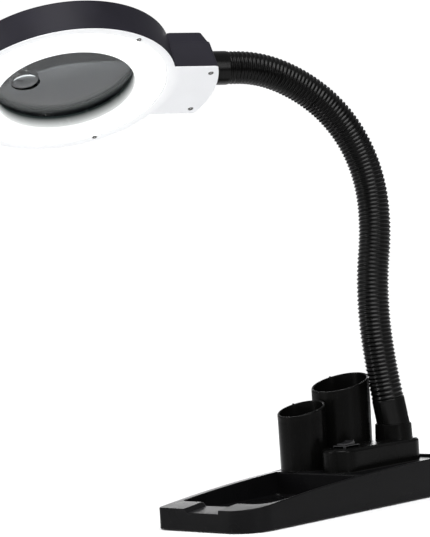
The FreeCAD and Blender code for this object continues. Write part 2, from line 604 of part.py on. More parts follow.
def make_lid():
    top = LID_Z + LID_T
    disc = spin([(0, LID_Z), (LID_R, LID_Z), (LID_R + 0.4, LID_Z + 0.8), (LID_R - 1.4, top),
                 (18, top + 0.9), (0, top + 1.0)])
    spigot = ring(45.6, 47.4, LID_Z - 1.8, LID_Z + 0.5)
    tab = slab((-LID_R - 4.5, -LID_R + 6), (-9.0, 9.0), (2.0, 2.0, 3.0, 3.0), LID_Z, LID_Z + 1.8)
    arm = box((LID_R - 6, HINGE_X - 0.6), (-9.0, 9.0), (LID_Z, HINGE_Z + 0.6))
    eye = Part.makeCylinder(2.5, 18.0, Vector(HINGE_X, -9.0, HINGE_Z), Vector(0, 1, 0))
    bore = Part.makeCylinder(PIN_R + PIN_FIT, 30, Vector(HINGE_X, -15, HINGE_Z), Vector(0, 1, 0))
    return fuse(disc, spigot, tab, arm, eye).cut(bore)


def make_head(place):
    outer = head_outer()
    parts = {}
    parts["head_shell"] = [make_head_shell(outer)]
    parts["underside_cover"] = [make_underside()]
    parts["light_diffuser"] = [ring(DIFFUSER_R[0], DIFFUSER_R[1], 0.2, 1.6)]
    board = ring(BOARD_R[0] + 0.9, BOARD_R[1], *BOARD_Z)
    for a in BOARD_POST_ANGLES:
        board = board.cut(cyl(1.3, 0, 20, *polar(BOARD_POST_R, a)))
    parts["led_board"] = [board]
    step = 360.0 / LED_COUNT
    chip_l, chip_w, chip_t = LED_SIZE
    leds = []
    for i in range(LED_COUNT):
        chip_z = (BOARD_Z[0] - chip_t, BOARD_Z[0] - 0.01)
        chip = box((-chip_w / 2, chip_w / 2), (-chip_l / 2, chip_l / 2), chip_z)
        chip.translate(Vector(LED_RING_R, 0, 0))
        chip.rotate(Vector(0, 0, 0), Vector(0, 0, 1), (i + 0.5) * step)
        leds.append(chip)
    parts["leds"] = leds
    parts["lens_bezel"] = [make_bezel()]
    main_lens = make_lens(LENS_R, *LENS_EDGE_Z, *LENS_SAG)
    ix, iy = INSET_XY
    parts["main_lens"] = [main_lens.cut(cyl(INSET_R + 0.05, 0, 30, ix, iy))]
    parts["inset_lens"] = [make_lens(INSET_R, 8.2, 13.6, 1.6, 2.2, ix, iy)]
    parts["lens_retainer"] = [ring(LENS_R - 2.0, LENS_R, LENS_EDGE_Z[1] + 0.4, LENS_EDGE_Z[1] + 2.6)]
    ring_screws = [screw(*polar(RING_SCREW_R, a), 0.05, 0.6, 11.0, 1.7, 1.0) for a in RING_SCREW_ANGLES]
    parts["ring_screws"] = ring_screws
    parts["block_screws"] = [screw(x, y, 0.05, 0.6, 11.0, 1.9, 1.0) for x, y in BLOCK_SCREWS]
    under_board = BOARD_Z[0] - 0.8
    board_points = [polar(BOARD_POST_R, a) for a in BOARD_POST_ANGLES]
    parts["board_screws"] = [screw(x, y, under_board, 0.79, 13.0, 1.9, 1.0) for x, y in board_points]
    collar = rod(SLEEVE_R + 0.3, 97.0, BLOCK_END_X + 11.0, z=NECK_AXIS_Z)
    collar = collar.cut(outer).cut(rod(CORE_R + 0.3, 90, 120, z=NECK_AXIS_Z))
    parts["head_collar"] = [max(collar.Solids, key=lambda s: s.Volume)]
    nut = hex_nut(14.0, CORE_R + 0.05, 0.0, 4.4)
    nut.Placement = Placement(Vector(CLAMP_WALL_X[0] - 4.5, 0, NECK_AXIS_Z), Rotation(Vector(0, 1, 0), 90))
    parts["head_nut"] = [nut]
    parts["driver_board"] = [box((68.0, 82.0), (-14.0, 14.0), (5.0, 6.6))]
    parts["driver_parts"] = [box((70, 78), (-12, -5), (6.61, 11.0)), cyl(3.0, 6.61, 12.0, 73.0, 6.0)]
    lead = [(83.0, 0, NECK_AXIS_Z), (80.5, 0, NECK_AXIS_Z), (79.5, 0, 9.0), (77.0, 2.0, 8.0)]
    parts["head_lead"] = [wire_run(lead, 1.3)]
    parts["lens_lid"] = [make_lid()]
    parts["lid_pin"] = [Part.makeCylinder(PIN_R, 29.6, Vector(HINGE_X, -14.8, HINGE_Z), Vector(0, 1, 0))]
    for node, solids in parts.items():
        for solid in solids:
            solid.Placement = place.multiply(solid.Placement)
        add(node, *solids)


def main():
    make_base_shell()
    make_base_cover()
    make_ballast()
    make_cup("small_cup", SMALL_CUP)
    make_cup("large_cup", BIG_CUP)
    make_boss()
    make_switch()
    make_power_socket()
    make_base_lead()
    make_head(head_placement(make_neck()))
    os.makedirs("parts", exist_ok=True)
    for node, shape in NODES.items():
        shape.exportStep(f"parts/{node}.step")


main()
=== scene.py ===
import json
import math

import bmesh
import bpy
from mathutils import Matrix, Quaternion, Vector


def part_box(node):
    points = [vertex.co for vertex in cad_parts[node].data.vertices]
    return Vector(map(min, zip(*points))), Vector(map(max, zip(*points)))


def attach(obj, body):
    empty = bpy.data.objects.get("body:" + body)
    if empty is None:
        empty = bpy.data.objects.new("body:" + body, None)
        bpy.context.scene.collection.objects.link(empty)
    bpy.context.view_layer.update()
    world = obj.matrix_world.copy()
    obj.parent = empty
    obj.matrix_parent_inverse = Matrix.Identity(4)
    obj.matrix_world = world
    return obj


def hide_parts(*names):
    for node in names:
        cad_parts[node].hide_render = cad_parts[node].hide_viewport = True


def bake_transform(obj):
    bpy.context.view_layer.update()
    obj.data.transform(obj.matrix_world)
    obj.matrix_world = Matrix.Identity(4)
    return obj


# Looks of the magnifying lamp. Shapes are worked out in millimetres and written in metres.

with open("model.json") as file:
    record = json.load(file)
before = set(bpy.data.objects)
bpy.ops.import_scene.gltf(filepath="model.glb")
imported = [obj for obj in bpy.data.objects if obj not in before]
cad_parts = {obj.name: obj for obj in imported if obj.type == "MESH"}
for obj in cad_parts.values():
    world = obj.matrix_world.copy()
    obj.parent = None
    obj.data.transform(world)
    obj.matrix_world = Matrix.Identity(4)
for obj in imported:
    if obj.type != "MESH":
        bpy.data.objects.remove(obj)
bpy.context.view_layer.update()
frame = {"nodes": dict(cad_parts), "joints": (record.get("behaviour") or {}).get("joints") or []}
MM = 0.001
JOINTS = {joint["name"]: joint for joint in frame["joints"]}


# ---------------- mesh helpers
def new_piece(name, mesh_data):
    piece = bpy.data.objects.new(name, mesh_data)
    bpy.context.scene.collection.objects.link(piece)
    return piece


def skin(name, loops, caps=True, closed=False):
    """Skin over matched loops of points in mm. A loop of one point is a pole."""
    build = bmesh.new()
    rows = [[build.verts.new(Vector(p) * MM) for p in loop] for loop in loops]
    pairs = list(zip(rows, rows[1:]))
    if closed:
        pairs.append((rows[-1], rows[0]))
    for low, high in pairs:
        count = max(len(low), len(high))
        for i in range(count):
            j = (i + 1) % count
            if len(low) == 1:
                build.faces.new((low[0], high[j], high[i]))
            elif len(high) == 1:
                build.faces.new((low[i], low[j], high[0]))
            else:
                build.faces.new((low[i], low[j], high[j], high[i]))
    if caps and not closed:
        for row in (rows[0], rows[-1]):
            if len(row) > 2:
                build.faces.new(row)
    bmesh.ops.recalc_face_normals(build, faces=build.faces)
    data = bpy.data.meshes.new(name)
    build.to_mesh(data)
    build.free()
    return new_piece(name, data)


def circle(radius, height, count, centre=(0.0, 0.0)):
    if radius <= 0:
        return [(centre[0], centre[1], height)]
    turns = [2 * math.pi * i / count for i in range(count)]
    return [(centre[0] + radius * math.cos(a), centre[1] + radius * math.sin(a), height) for a in turns]


def lathe(name, profile, count=96, closed=False, centre=(0.0, 0.0)):
    """Turned shape from a profile of (radius, height) points."""
    return skin(name, [circle(r, z, count, centre) for r, z in profile], closed=closed)


def quarter(centre, radius, start, steps=4, turn=90):
    """Rounded corner of a profile: (radius, height) points of an arc about centre."""
    angles = [math.radians(start + turn * i / steps) for i in range(steps + 1)]
    return [(centre[0] + radius * math.cos(a), centre[1] + radius * math.sin(a)) for a in angles]


def corner(x, y, radius, start, steps):
    """Rounded corner of a plan outline at (x, y), turning 90 degrees from start."""
    middle = math.radians(start + 45)
    to_x, to_y = math.copysign(radius, math.cos(middle)), math.copysign(radius, math.sin(middle))
    return quarter((x - to_x, y - to_y), radius, start, steps)


def rounded_plan(x, y, radius, steps=5):
    """Rectangle with round corners, anticlockwise from its front right corner."""
    plan = corner(x[1], y[0], radius, -90, steps) + corner(x[1], y[1], radius, 0, steps)
    return plan + corner(x[0], y[1], radius, 90, steps) + corner(x[0], y[0], radius, 180, steps)


def inset_plan(x, y, radius, steps):
    """The plan_at function of a rectangle with round corners."""
    def plan_at(inset):
        return rounded_plan((x[0] + inset, x[1] - inset), (y[0] + inset, y[1] - inset), radius, steps)
    return plan_at


def level(plan, height):
    """Loop of points at one height over a plan outline."""
    return [(x, y, height) for x, y in plan]


def rolled(radius, steps=3):
    """(inset, drop) pairs round a rolled edge, from the side wall up to the top."""
    turns = [math.radians(90 * i / steps) for i in range(steps + 1)]
    return [(radius * (1 - math.cos(a)), radius * (1 - math.sin(a))) for a in turns]


def plate(name, plan_at, bottom, top, round_top=0.5, round_bottom=0.3):
    """Plate with rolled edges: plan_at(inset) gives its outline, smaller by inset."""
    loops = [level(plan_at(inset), bottom + rise) for rise, inset in rolled(round_bottom)]
    loops += [level(plan_at(inset), top - drop) for inset, drop in rolled(round_top)]
    return skin(name, loops)


def bake(piece):
    """Apply a piece's modifiers to its mesh."""
    graph = bpy.context.evaluated_depsgraph_get()
    made = bpy.data.meshes.new_from_object(piece.evaluated_get(graph))
    piece.modifiers.clear()
    piece.data = made
    return piece


def combine(piece, tool, operation):
    """Join a tool to a piece, or cut it out, and use the tool up."""
    cut = piece.modifiers.new("combine", "BOOLEAN")
    cut.object = tool
    cut.operation = operation
    cut.solver = "EXACT"
    bake(piece)
    bpy.data.objects.remove(tool)
    return piece


def unite(piece, *tools):
    for tool in tools:
        combine(piece, tool, "UNION")
    return piece


def carve(piece, *tools):
    for tool in tools:
        combine(piece, tool, "DIFFERENCE")
    return piece


def finish_surface(piece, angle=32):
    """Smooth shading between soft edges, flat faces kept flat."""
    piece.data.shade_smooth()
    piece.data.set_sharp_from_angle(angle=math.radians(angle))
    weigh = piece.modifiers.new("normals", "WEIGHTED_NORMAL")
    weigh.keep_sharp = True
    return bake(piece)


def turned_to(piece, axis, origin):
    """Stand a piece built along +Z at origin, pointing along axis."""
    turn = Vector((0, 0, 1)).rotation_difference(axis).to_matrix().to_4x4()
    piece.data.transform(Matrix.Translation(origin) @ turn)
    return piece


def dress(piece, body, slot, material, *nodes):
    """Give a piece its material, its CAD body and the CAD nodes that it stands for."""
    piece.data.materials.clear()
    piece.data.materials.append(material)
    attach(piece, body)
    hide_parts(*nodes)
    return piece


# ---------------- materials
RING_MAP = "round_and_out"  # UV map of the turned pieces, see round_and_out()
CLOUD_SCALE = 28.0          # features per metre of the slow drift in a plastic
HAZE_SCALE = 90.0
ETCH_SCALE = 2200.0         # the same of the head's etched grain
LENS_SEAT_Z = 9.1           # height of the bezel's inner end, where its painted glow has died away and its painted shade is darkest
# radii over which the cover's painted glow fades from strong to faint
COVER_PAINTED_GLOW_R = (66.0, 76.0)
LID_PAD_R = (39.0, 41.5)
LED_COUNT = 60
LED_RING_R = 60.0
LOBE_REACH = 5.6            # how far the full glow reaches each side of the lamp chips
LOBE_DEPTH = 0.7            # scallop between one chip and the next
LOBE_FADE = 2.4
PLASTIC_DRIFT = 0.2         # share by which the pigment is darker or lighter than its mean


def blank(name):
    made = bpy.data.materials.new(name)
    made.use_nodes = True
    tree = made.node_tree
    return made, tree, tree.nodes["Principled BSDF"]


def noise(tree, scale, detail=3.0, stretch=(1.0, 1.0, 1.0)):
    """Noise in the piece's own space, in features per metre."""
    place = tree.nodes.new("ShaderNodeTexCoord")
    fit = tree.nodes.new("ShaderNodeMapping")
    fit.inputs["Scale"].default_value = stretch
    texture = tree.nodes.new("ShaderNodeTexNoise")
    texture.inputs["Scale"].default_value = scale
    texture.inputs["Detail"].default_value = detail
    tree.links.new(place.outputs["Object"], fit.inputs["Vector"])
    tree.links.new(fit.outputs["Vector"], texture.inputs["Vector"])
    return texture.outputs["Fac"]


def colours(tree, source, low, high, span=(0.3, 0.7)):
    """Colour that drifts from low to high as source goes over span."""
    ramp = tree.nodes.new("ShaderNodeValToRGB")
    ramp.color_ramp.elements[0].position = span[0]
    ramp.color_ramp.elements[1].position = span[1]
    ramp.color_ramp.elements[0].color = (*low, 1)
    ramp.color_ramp.elements[1].color = (*high, 1)
    tree.links.new(source, ramp.inputs["Fac"])
    return ramp.outputs["Color"]


def spread(tree, source, low, high, span=(0.3, 0.7)):
    """Number that goes from low to high as source goes over span."""
    fit = tree.nodes.new("ShaderNodeMapRange")
    fit.inputs["From Min"].default_value = span[0]
    fit.inputs["From Max"].default_value = span[1]
    fit.inputs["To Min"].default_value = low
    fit.inputs["To Max"].default_value = high
    tree.links.new(source, fit.inputs["Value"])
    return fit.outputs["Result"]


def grain(tree, shader, height, depth):
    """Relief: height is a 0 to 1 field, depth its size in metres."""
    bump = tree.nodes.new("ShaderNodeBump")
    bump.inputs["Distance"].default_value = depth
    bump.inputs["Strength"].default_value = 1.0
    tree.links.new(height, bump.inputs["Height"])
    tree.links.new(bump.outputs["Normal"], shader.inputs["Normal"])


def tint(tree, shader, source, low, high, span=(0.3, 0.7), socket="Base Color"):
    """Colour socket that drifts from low to high with source."""
    tree.links.new(colours(tree, source, low, high, span), shader.inputs[socket])


def roughen(tree, shader, source, low, high):
    """Roughness that drifts from low to high with source."""
    tree.links.new(spread(tree, source, low, high), shader.inputs["Roughness"])


def moulded(name, colour, rough, gloss, grain_scale, grain_depth, drift=PLASTIC_DRIFT):
    """Injection-moulded plastic: fine etched grain, cloudy gloss and slightly uneven pigment."""
    made, tree, shader = blank(name)
    clouds = noise(tree, CLOUD_SCALE)
    tint(tree, shader, clouds, [c * (1 - drift) for c in colour], [c * (1 + drift) for c in colour])
    roughen(tree, shader, clouds, *rough)
    shader.inputs["Specular IOR Level"].default_value = gloss
    grain(tree, shader, noise(tree, grain_scale, 2.0), grain_depth)
    return made


def metal(name, colour, rough, stretch):
    """Plated or turned metal with fine drawn lines."""
    made, tree, shader = blank(name)
    lines = noise(tree, 900.0, 2.0, stretch)
    tint(tree, shader, lines, [c * 0.85 for c in colour], colour)
    roughen(tree, shader, lines, *rough)
    shader.inputs["Metallic"].default_value = 1.0
    grain(tree, shader, lines, 0.00001)
    return made


def optical_glass(name):
    """Clear lens glass, with a trace of haze that keeps it from looking perfect."""
    made, tree, shader = blank(name)
    haze = noise(tree, 60.0)
    tint(tree, shader, haze, (0.84, 0.90, 0.92), (0.88, 0.93, 0.95))
    roughen(tree, shader, haze, 0.0, 0.015)
    shader.inputs["Transmission Weight"].default_value = 1.0
    shader.inputs["IOR"].default_value = 1.49
    shader.inputs["Specular IOR Level"].default_value = 0.3
    return made


def ring_map(tree):
    """Outputs X and Y of a turned piece's UV map."""
    place = tree.nodes.new("ShaderNodeUVMap")
    place.uv_map = RING_MAP
    split = tree.nodes.new("ShaderNodeSeparateXYZ")
    tree.links.new(place.outputs["UV"], split.inputs["Vector"])
    return split.outputs["X"], split.outputs["Y"]


def outwards(tree, near, far):
    """0 to 1 as the second coordinate of a turned piece's UV map goes from near to far, in mm."""
    return spread(tree, ring_map(tree)[1], 0.0, 1.0, (near, far))


def lit_diffuser(name):
    """Milky ring lit from behind: one soft lobe of light for each lamp chip round the ring."""
    made, tree, shader = blank(name)

    def maths(operation, *values):
        node = tree.nodes.new("ShaderNodeMath")
        node.operation = operation
        for socket, value in zip(node.inputs, values):
            if isinstance(value, (int, float)):
                socket.default_value = value
            else:
                tree.links.new(value, socket)
        return node.outputs["Value"]

    turn, out = ring_map(tree)
    lobes = maths("COSINE", maths("MULTIPLY", turn, 2 * math.pi * LED_COUNT))
    reach = maths("ADD", maths("MULTIPLY", lobes, -LOBE_DEPTH), LOBE_REACH)
    away = maths("ABSOLUTE", maths("SUBTRACT", out, LED_RING_R))
    fade = maths("DIVIDE", maths("SUBTRACT", away, reach), LOBE_FADE)
    tint(tree, shader, fade, (1.0, 1.0, 1.0), (0.62, 0.66, 0.66), (0.0, 1.0), "Emission Color")
    shader.inputs["Emission Strength"].default_value = 1.25
    milk = noise(tree, 300.0)
    tint(tree, shader, milk, (0.8, 0.81, 0.8), (0.86, 0.87, 0.86))
    roughen(tree, shader, milk, 0.35, 0.5)
    return made


def painted_glow_cover(name):
    """White cover plastic with a painted glow, though it is no lamp: strongest close to the ring and faint
    further out.
    """
    made, tree, shader = blank(name)
    away = outwards(tree, *COVER_PAINTED_GLOW_R)
    tint(tree, shader, noise(tree, CLOUD_SCALE), (0.82, 0.83, 0.845), (0.85, 0.86, 0.875))
    # painted glow: emission near the ring, fading to a faint glow further out
    tint(tree, shader, away, (0.15, 0.15, 0.14), (0.015, 0.015, 0.017), (0.0, 1.0), "Emission Color")
    shader.inputs["Emission Strength"].default_value = 1.0
    roughen(tree, shader, noise(tree, HAZE_SCALE), 0.36, 0.46)
    grain(tree, shader, noise(tree, ETCH_SCALE, 2.0), 0.000008)
    return made


def padded_lid(name):
    """Grey lid plastic, black round the rim outside its pad."""
    made, tree, shader = blank(name)
    rim = outwards(tree, *LID_PAD_R)
    tint(tree, shader, rim, (0.011, 0.0115, 0.0155), (0.001, 0.001, 0.0011), (0.0, 1.0))
    roughen(tree, shader, noise(tree, CLOUD_SCALE), 0.42, 0.55)
    shader.inputs["Specular IOR Level"].default_value = 0.12
    grain(tree, shader, noise(tree, ETCH_SCALE, 2.0), 0.000014)
    return made


def painted_shade_and_glow_bezel(name):
    """White tube beside the light, with painted light: a painted shade that darkens its wall towards the
    glass, and a painted glow at its lip that dies away up the wall, though it is no lamp.
    """
    made, tree, shader = blank(name)
    height = outwards(tree, 0.0, LENS_SEAT_Z)
    # painted shade: white at the lip, dark green-grey deep in the recess towards the glass
    tint(tree, shader, height, (0.80, 0.82, 0.81), (0.045, 0.062, 0.060), (0.05, 0.85))
    # painted glow: emission at the lip that dies away up the wall
    tint(tree, shader, height, (0.72, 0.74, 0.73), (0.0, 0.0, 0.0), (0.0, 0.8), "Emission Color")
    shader.inputs["Emission Strength"].default_value = 0.6
    roughen(tree, shader, noise(tree, HAZE_SCALE), 0.2, 0.3)
    return made


def foam(name):
    made, tree, shader = blank(name)
    cells = noise(tree, 1500.0, 2.0)
    tint(tree, shader, cells, (0.02, 0.02, 0.02), (0.06, 0.06, 0.06))
    roughen(tree, shader, cells, 0.85, 1.0)
    grain(tree, shader, cells, 0.0003)
    return made


BASE_BLACK = moulded("base_black", (0.0034, 0.0034, 0.0037), (0.24, 0.34), 0.06, 2600.0, 0.00001)
CUP_BLACK = moulded("cup_black", (0.0020, 0.0020, 0.0019), (0.20, 0.30), 0.06, 2600.0, 0.000006)
SLEEVE_BLACK = moulded("sleeve_black", (0.0018, 0.0018, 0.0017), (0.18, 0.27), 0.13, 1500.0, 0.000008)
HEAD_BLACK = moulded("head_black", (0.0130, 0.0122, 0.0175), (0.42, 0.52), 0.12, ETCH_SCALE, 0.000014)
ROCKER_BLACK = moulded("rocker_black", (0.012, 0.012, 0.013), (0.16, 0.24), 0.4, 3000.0, 0.000004)
LID_GREY = padded_lid("lid_grey")
COVER_PAINTED_GLOW = painted_glow_cover("cover_painted_glow")
BEZEL_PAINTED_SHADE_AND_GLOW = painted_shade_and_glow_bezel("bezel_painted_shade_and_glow")
BOARD_WHITE = moulded("board_white", (0.7, 0.72, 0.7), (0.4, 0.5), 0.4, 1200.0, 0.00001, drift=0.05)
CHIP_YELLOW = moulded("chip_yellow", (0.85, 0.78, 0.45), (0.4, 0.5), 0.4, 2500.0, 0.000004, drift=0.05)
PART_DARK = moulded("part_dark", (0.05, 0.05, 0.055), (0.4, 0.55), 0.4, 1500.0, 0.00001)
LEAD_BLACK = moulded("lead_black", (0.03, 0.03, 0.03), (0.5, 0.6), 0.4, 1200.0, 0.00002)
STEEL = metal("steel", (0.62, 0.62, 0.64), (0.22, 0.36), (1.0, 1.0, 0.2))
DARK_STEEL = metal("dark_steel", (0.16, 0.16, 0.15), (0.3, 0.42), (1.0, 1.0, 0.2))
BALLAST = metal("ballast", (0.3, 0.3, 0.31), (0.45, 0.6), (0.1, 1.0, 1.0))
CONTACT = metal("contact", (0.72, 0.66, 0.45), (0.25, 0.35), (1.0, 0.2, 1.0))
GLASS = optical_glass("lens_glass")
DIFFUSER = lit_diffuser("lit_diffuser")
FOAM = foam("foam")


# ---------------- base
BASE_LOW, BASE_HIGH = [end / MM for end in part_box("base_shell")]
ROUND_R = 21.0              # corners on the +X side
SHARP_R = 4.0               # corners on the -X side
RIM_FRONT = (BASE_LOW.y - 6.0, 13.85)
RIM_MIDDLE = (BASE_LOW.y + 95.0, 23.15)
RIM_REAR = (BASE_LOW.y + 190.0, 26.0)
DECK_Y = BASE_LOW.y + 113.0
DECK_Z = 24.2
DECK_IN = 0.7               # the deck's plate ends this far inside the outer wall
TRAY_Y = BASE_LOW.y + 19.0
TRAY_Z = 8.0
TRAY_FLOOR_T = 1.8
TRAY_FRONT_R = (14.0, 2.5)  # the tray's front corners, on the +X and the -X side
TRAY_REAR_R = 3.0
COVE_R = 1.6
BROAD_RIM = 5.4             # rim beside the tray on the -X side
THIN_RIM = 1.8              # rim everywhere else
JOG_Y = DECK_Y + 3.0        # the broad rim has narrowed to the thin one here
REAR_TIGHT_R = 2.2          # inner rear corner on the -X side
REBATE_Z = 5.6              # the base cover sits in the wall below this height
WALL = 2.4
REST_X = (-17.0, -13.5, 12.8, 13.0)      # pen rest: ramp, floor, step
REST_DEPTH = 2.4
EDGE_R = 0.7


def arc_height(y):
    """Height at y of the arc through the rim's front, middle and rear."""
    (y1, z1), (y2, z2), (y3, z3) = RIM_FRONT, RIM_MIDDLE, RIM_REAR
    d = 2 * (y1 * (z2 - z3) + y2 * (z3 - z1) + y3 * (z1 - z2))
    a, b, c = y1 * y1 + z1 * z1, y2 * y2 + z2 * z2, y3 * y3 + z3 * z3
    centre_y = (a * (z2 - z3) + b * (z3 - z1) + c * (z1 - z2)) / d
    centre_z = (a * (y3 - y2) + b * (y1 - y3) + c * (y2 - y1)) / d
    radius = math.hypot(y1 - centre_y, z1 - centre_z)
    if y >= y3:
        return z3
    return centre_z + math.sqrt(radius * radius - (y - centre_y) ** 2)


def rim_height(x, y):
    """Top of the rim, lowered by the pen rest at the front."""
    top = arc_height(y)
    ramp, floor, step, end = REST_X
    if y > TRAY_Y + 0.5 or x <= ramp or x >= end:
        return top
    share = min((x - ramp) / (floor - ramp), 1.0, (end - x) / (end - step))
    return top - REST_DEPTH * share


def spaced(first, last, count):
    """Evenly spaced values from first, short of last."""
    return [first + (last - first) * i / count for i in range(count)]


def front_stations():
    """Places along the front wall where the rim's height may change."""
    ramp, floor, step, end = REST_X
    return [ramp - 8, ramp, floor, floor + 9, floor + 18, step, end, end + 3]


def outer_plan(inset):
    """Outer wall of the base, matched point for point with inner_plan."""
    left, right = BASE_LOW.x + inset, BASE_HIGH.x - inset
    front, rear = BASE_LOW.y + inset, BASE_HIGH.y - inset
    big, small = ROUND_R - inset, max(SHARP_R - inset, 0.5)
    plan = [(x, front) for x in front_stations()]
    plan += corner(right, front, big, -90, 16)
    plan += [(right, y) for y in spaced(front + big, rear - big, 24)[1:]]
    plan += corner(right, rear, big, 0, 16)
    plan += corner(left, rear, small, 90, 6)
    plan += [(left, y) for y in spaced(rear - small, JOG_Y, 10)[1:]]
    plan += [(left, JOG_Y), (left, DECK_Y)]
    plan += [(left, y) for y in spaced(DECK_Y, front + small, 16)[1:]]
    plan += corner(left, front, small, 180, 6)
    return plan


def inner_plan(inset):
    """Inner wall of the rim, round the tray and the deck."""
    right = BASE_HIGH.x - THIN_RIM - inset
    tray_left, deck_left = BASE_LOW.x + BROAD_RIM + inset, BASE_LOW.x + THIN_RIM + inset
    front, rear = TRAY_Y + inset, BASE_HIGH.y - THIN_RIM - inset
    front_r, tight_r = [radius - inset for radius in TRAY_FRONT_R]
    rear_r, rear_small = ROUND_R - THIN_RIM - inset, REAR_TIGHT_R - inset
    plan = [(x, front) for x in front_stations()]
    plan += corner(right, front, front_r, -90, 16)
    plan += [(right, y) for y in spaced(front + front_r, rear - rear_r, 24)[1:]]
    plan += corner(right, rear, rear_r, 0, 16)
    plan += corner(deck_left, rear, rear_small, 90, 6)
    plan += [(deck_left, y) for y in spaced(rear - rear_small, JOG_Y, 10)[1:]]
    plan += [(deck_left, JOG_Y), (tray_left, DECK_Y)]
    plan += [(tray_left, y) for y in spaced(DECK_Y, front + tight_r, 16)[1:]]
    plan += corner(tray_left, front, tight_r, 180, 6)
    return plan


def wall_ring():
    """The wall all round the base: rolled outer and inner edges, and a step for the base cover."""
    foot = BASE_LOW.z
    foot_roll = 0.4

    def rim(plan, drop):
        return [(x, y, rim_height(x, y) - drop) for x, y in plan]

    loops = [level(outer_plan(foot_roll), foot), level(outer_plan(0.0), foot + foot_roll)]
    loops += [rim(outer_plan(inset), drop) for inset, drop in rolled(EDGE_R)]
    loops += [rim(inner_plan(-inset), drop) for inset, drop in reversed(rolled(EDGE_R))]
    loops += [level(inner_plan(0.0), REBATE_Z)]
    loops += [level(outer_plan(WALL), height) for height in (REBATE_Z, foot)]
    return skin("base_moulding", loops, closed=True)


def deck_plan(inset):
    left, right = BASE_LOW.x + DECK_IN + inset, BASE_HIGH.x - DECK_IN - inset
    front, rear = DECK_Y + inset, BASE_HIGH.y - DECK_IN - inset
    big, small, tight = ROUND_R - DECK_IN - inset, 3.0, 1.0
    plan = corner(right, front, tight, -90, 3)
    plan += corner(right, rear, big, 0, 16)
    plan += corner(left, rear, small, 90, 5)
    plan += corner(left, front, tight, 180, 3)
    return plan


def tray_floor():
    """Floor of the tray, coved up to its walls."""
    tuck = 0.6
    loops = [level(tray_plan(-tuck), TRAY_Z - TRAY_FLOOR_T), level(tray_plan(-tuck), TRAY_Z + COVE_R)]
    loops += [level(tray_plan(inset - 0.02), TRAY_Z + rise) for inset, rise in rolled(COVE_R, 4)]
    return skin("tray_floor", loops)


def tray_plan(inset):
    left, right = BASE_LOW.x + BROAD_RIM + inset, BASE_HIGH.x - THIN_RIM - inset
    front, rear = TRAY_Y + inset, DECK_Y - inset
    front_r, tight_r = [radius - inset for radius in TRAY_FRONT_R]
    rear_r = TRAY_REAR_R - inset
    plan = corner(right, front, front_r, -90, 16)
    plan += corner(right, rear, rear_r, 0, 6)
    plan += corner(left, rear, rear_r, 90, 6)
    plan += corner(left, front, tight_r, 180, 6)
    return plan


def make_base():
    shell = wall_ring()
    deck = plate("deck", deck_plan, DECK_Z - WALL, DECK_Z, 0.9)
    step_plan = inset_plan((BASE_LOW.x + 1.2, BASE_HIGH.x - 0.9), (DECK_Y, DECK_Y + WALL), 0.4, 2)
    step = plate("step", step_plan, TRAY_Z - TRAY_FLOOR_T, DECK_Z - 1.0, 0.2, 0.2)
    unite(shell, tray_floor(), step, deck)
    finish_surface(shell)
    return dress(shell, "base", "base_plastic", BASE_BLACK, "base_shell")


# ---------------- cups
CUP_WALL = 1.5
CUP_FLOOR_T = 2.0
CUP_SLANT = math.radians(14.0)
CUP_NUB_TURN = math.radians(150)
CUP_AROUND = 96
LIP_R = 0.85                # the rolled lip is a little fuller than the wall
# Centre, foot radius, top radius, and height of the mouth at the centre.
CUPS = {
    "small_cup": (Vector((-22.7, 21.8)), 16.2, 16.4, 65.6),
    "large_cup": (Vector((-19.5, 60.9)), 19.9, 20.0, 80.0),
}


def make_cup(node):
    """Cup with its mouth cut off on a slant, low at the front, a rolled lip and a nub on the lip."""
    centre, foot_r, top_r, mouth_z = CUPS[node]

    def mouth(angle):
        return mouth_z + math.tan(CUP_SLANT) * top_r * math.sin(angle)

    def ring_at(radius_of, height_of):
        points = []
        for i in range(CUP_AROUND):
            a = 2 * math.pi * i / CUP_AROUND
            r = radius_of(a)
            points.append((centre.x + r * math.cos(a), centre.y + r * math.sin(a), height_of(a)))
        return points

    def outer_r(z):
        return foot_r + (top_r - foot_r) * (z - DECK_Z) / (mouth_z - DECK_Z)

    def wall_at(low, share, inset):
        """Ring on the wall, a share of the way from the height low up to the lip."""
        def height(angle):
            return low + (mouth(angle) - LIP_R - low) * share
        return ring_at(lambda angle: outer_r(height(angle)) - inset, height)

    def lip_at(swing):
        """Ring on the rolled lip, swing radians on from its outer side."""
        return ring_at(
            lambda angle: outer_r(mouth(angle)) - CUP_WALL / 2 + LIP_R * math.cos(swing),
            lambda angle: mouth(angle) - LIP_R + LIP_R * math.sin(swing),
        )

    inner_foot = DECK_Z + CUP_FLOOR_T
    inner_r, round_r = foot_r - CUP_WALL, 1.2
    foot = [(foot_r + 0.5, DECK_Z - 0.05), (foot_r + 0.12, DECK_Z + 0.35)]
    floor = [(inner_r, inner_foot + round_r), (inner_r - round_r, inner_foot), (0, inner_foot)]
    loops = [circle(r, z, CUP_AROUND, centre) for r, z in foot]
    loops += [wall_at(DECK_Z + 0.8, share, 0.0) for share in (0.02, 0.3, 0.6, 0.9, 0.96)]
    loops += [lip_at(math.pi * i / 8) for i in range(9)]
    loops += [wall_at(inner_foot + 1.5, share, CUP_WALL) for share in (0.9, 0.5, 0.1)]
    loops += [circle(r, z, CUP_AROUND, centre) for r, z in floor]
    cup = skin(f"{node}_moulding", loops)
    nub_z = mouth(CUP_NUB_TURN)
    nub_r = outer_r(nub_z) - CUP_WALL / 2
    nub_at = (centre.x + nub_r * math.cos(CUP_NUB_TURN), centre.y + nub_r * math.sin(CUP_NUB_TURN))
    nub = [(0.8, nub_z - 1.0), (0.8, nub_z + 0.1), (0.5, nub_z + 0.5), (0, nub_z + 0.6)]
    unite(cup, lathe("nub", nub, 12, centre=nub_at))
    finish_surface(cup)
    return dress(cup, "base", "base_plastic", CUP_BLACK, node)


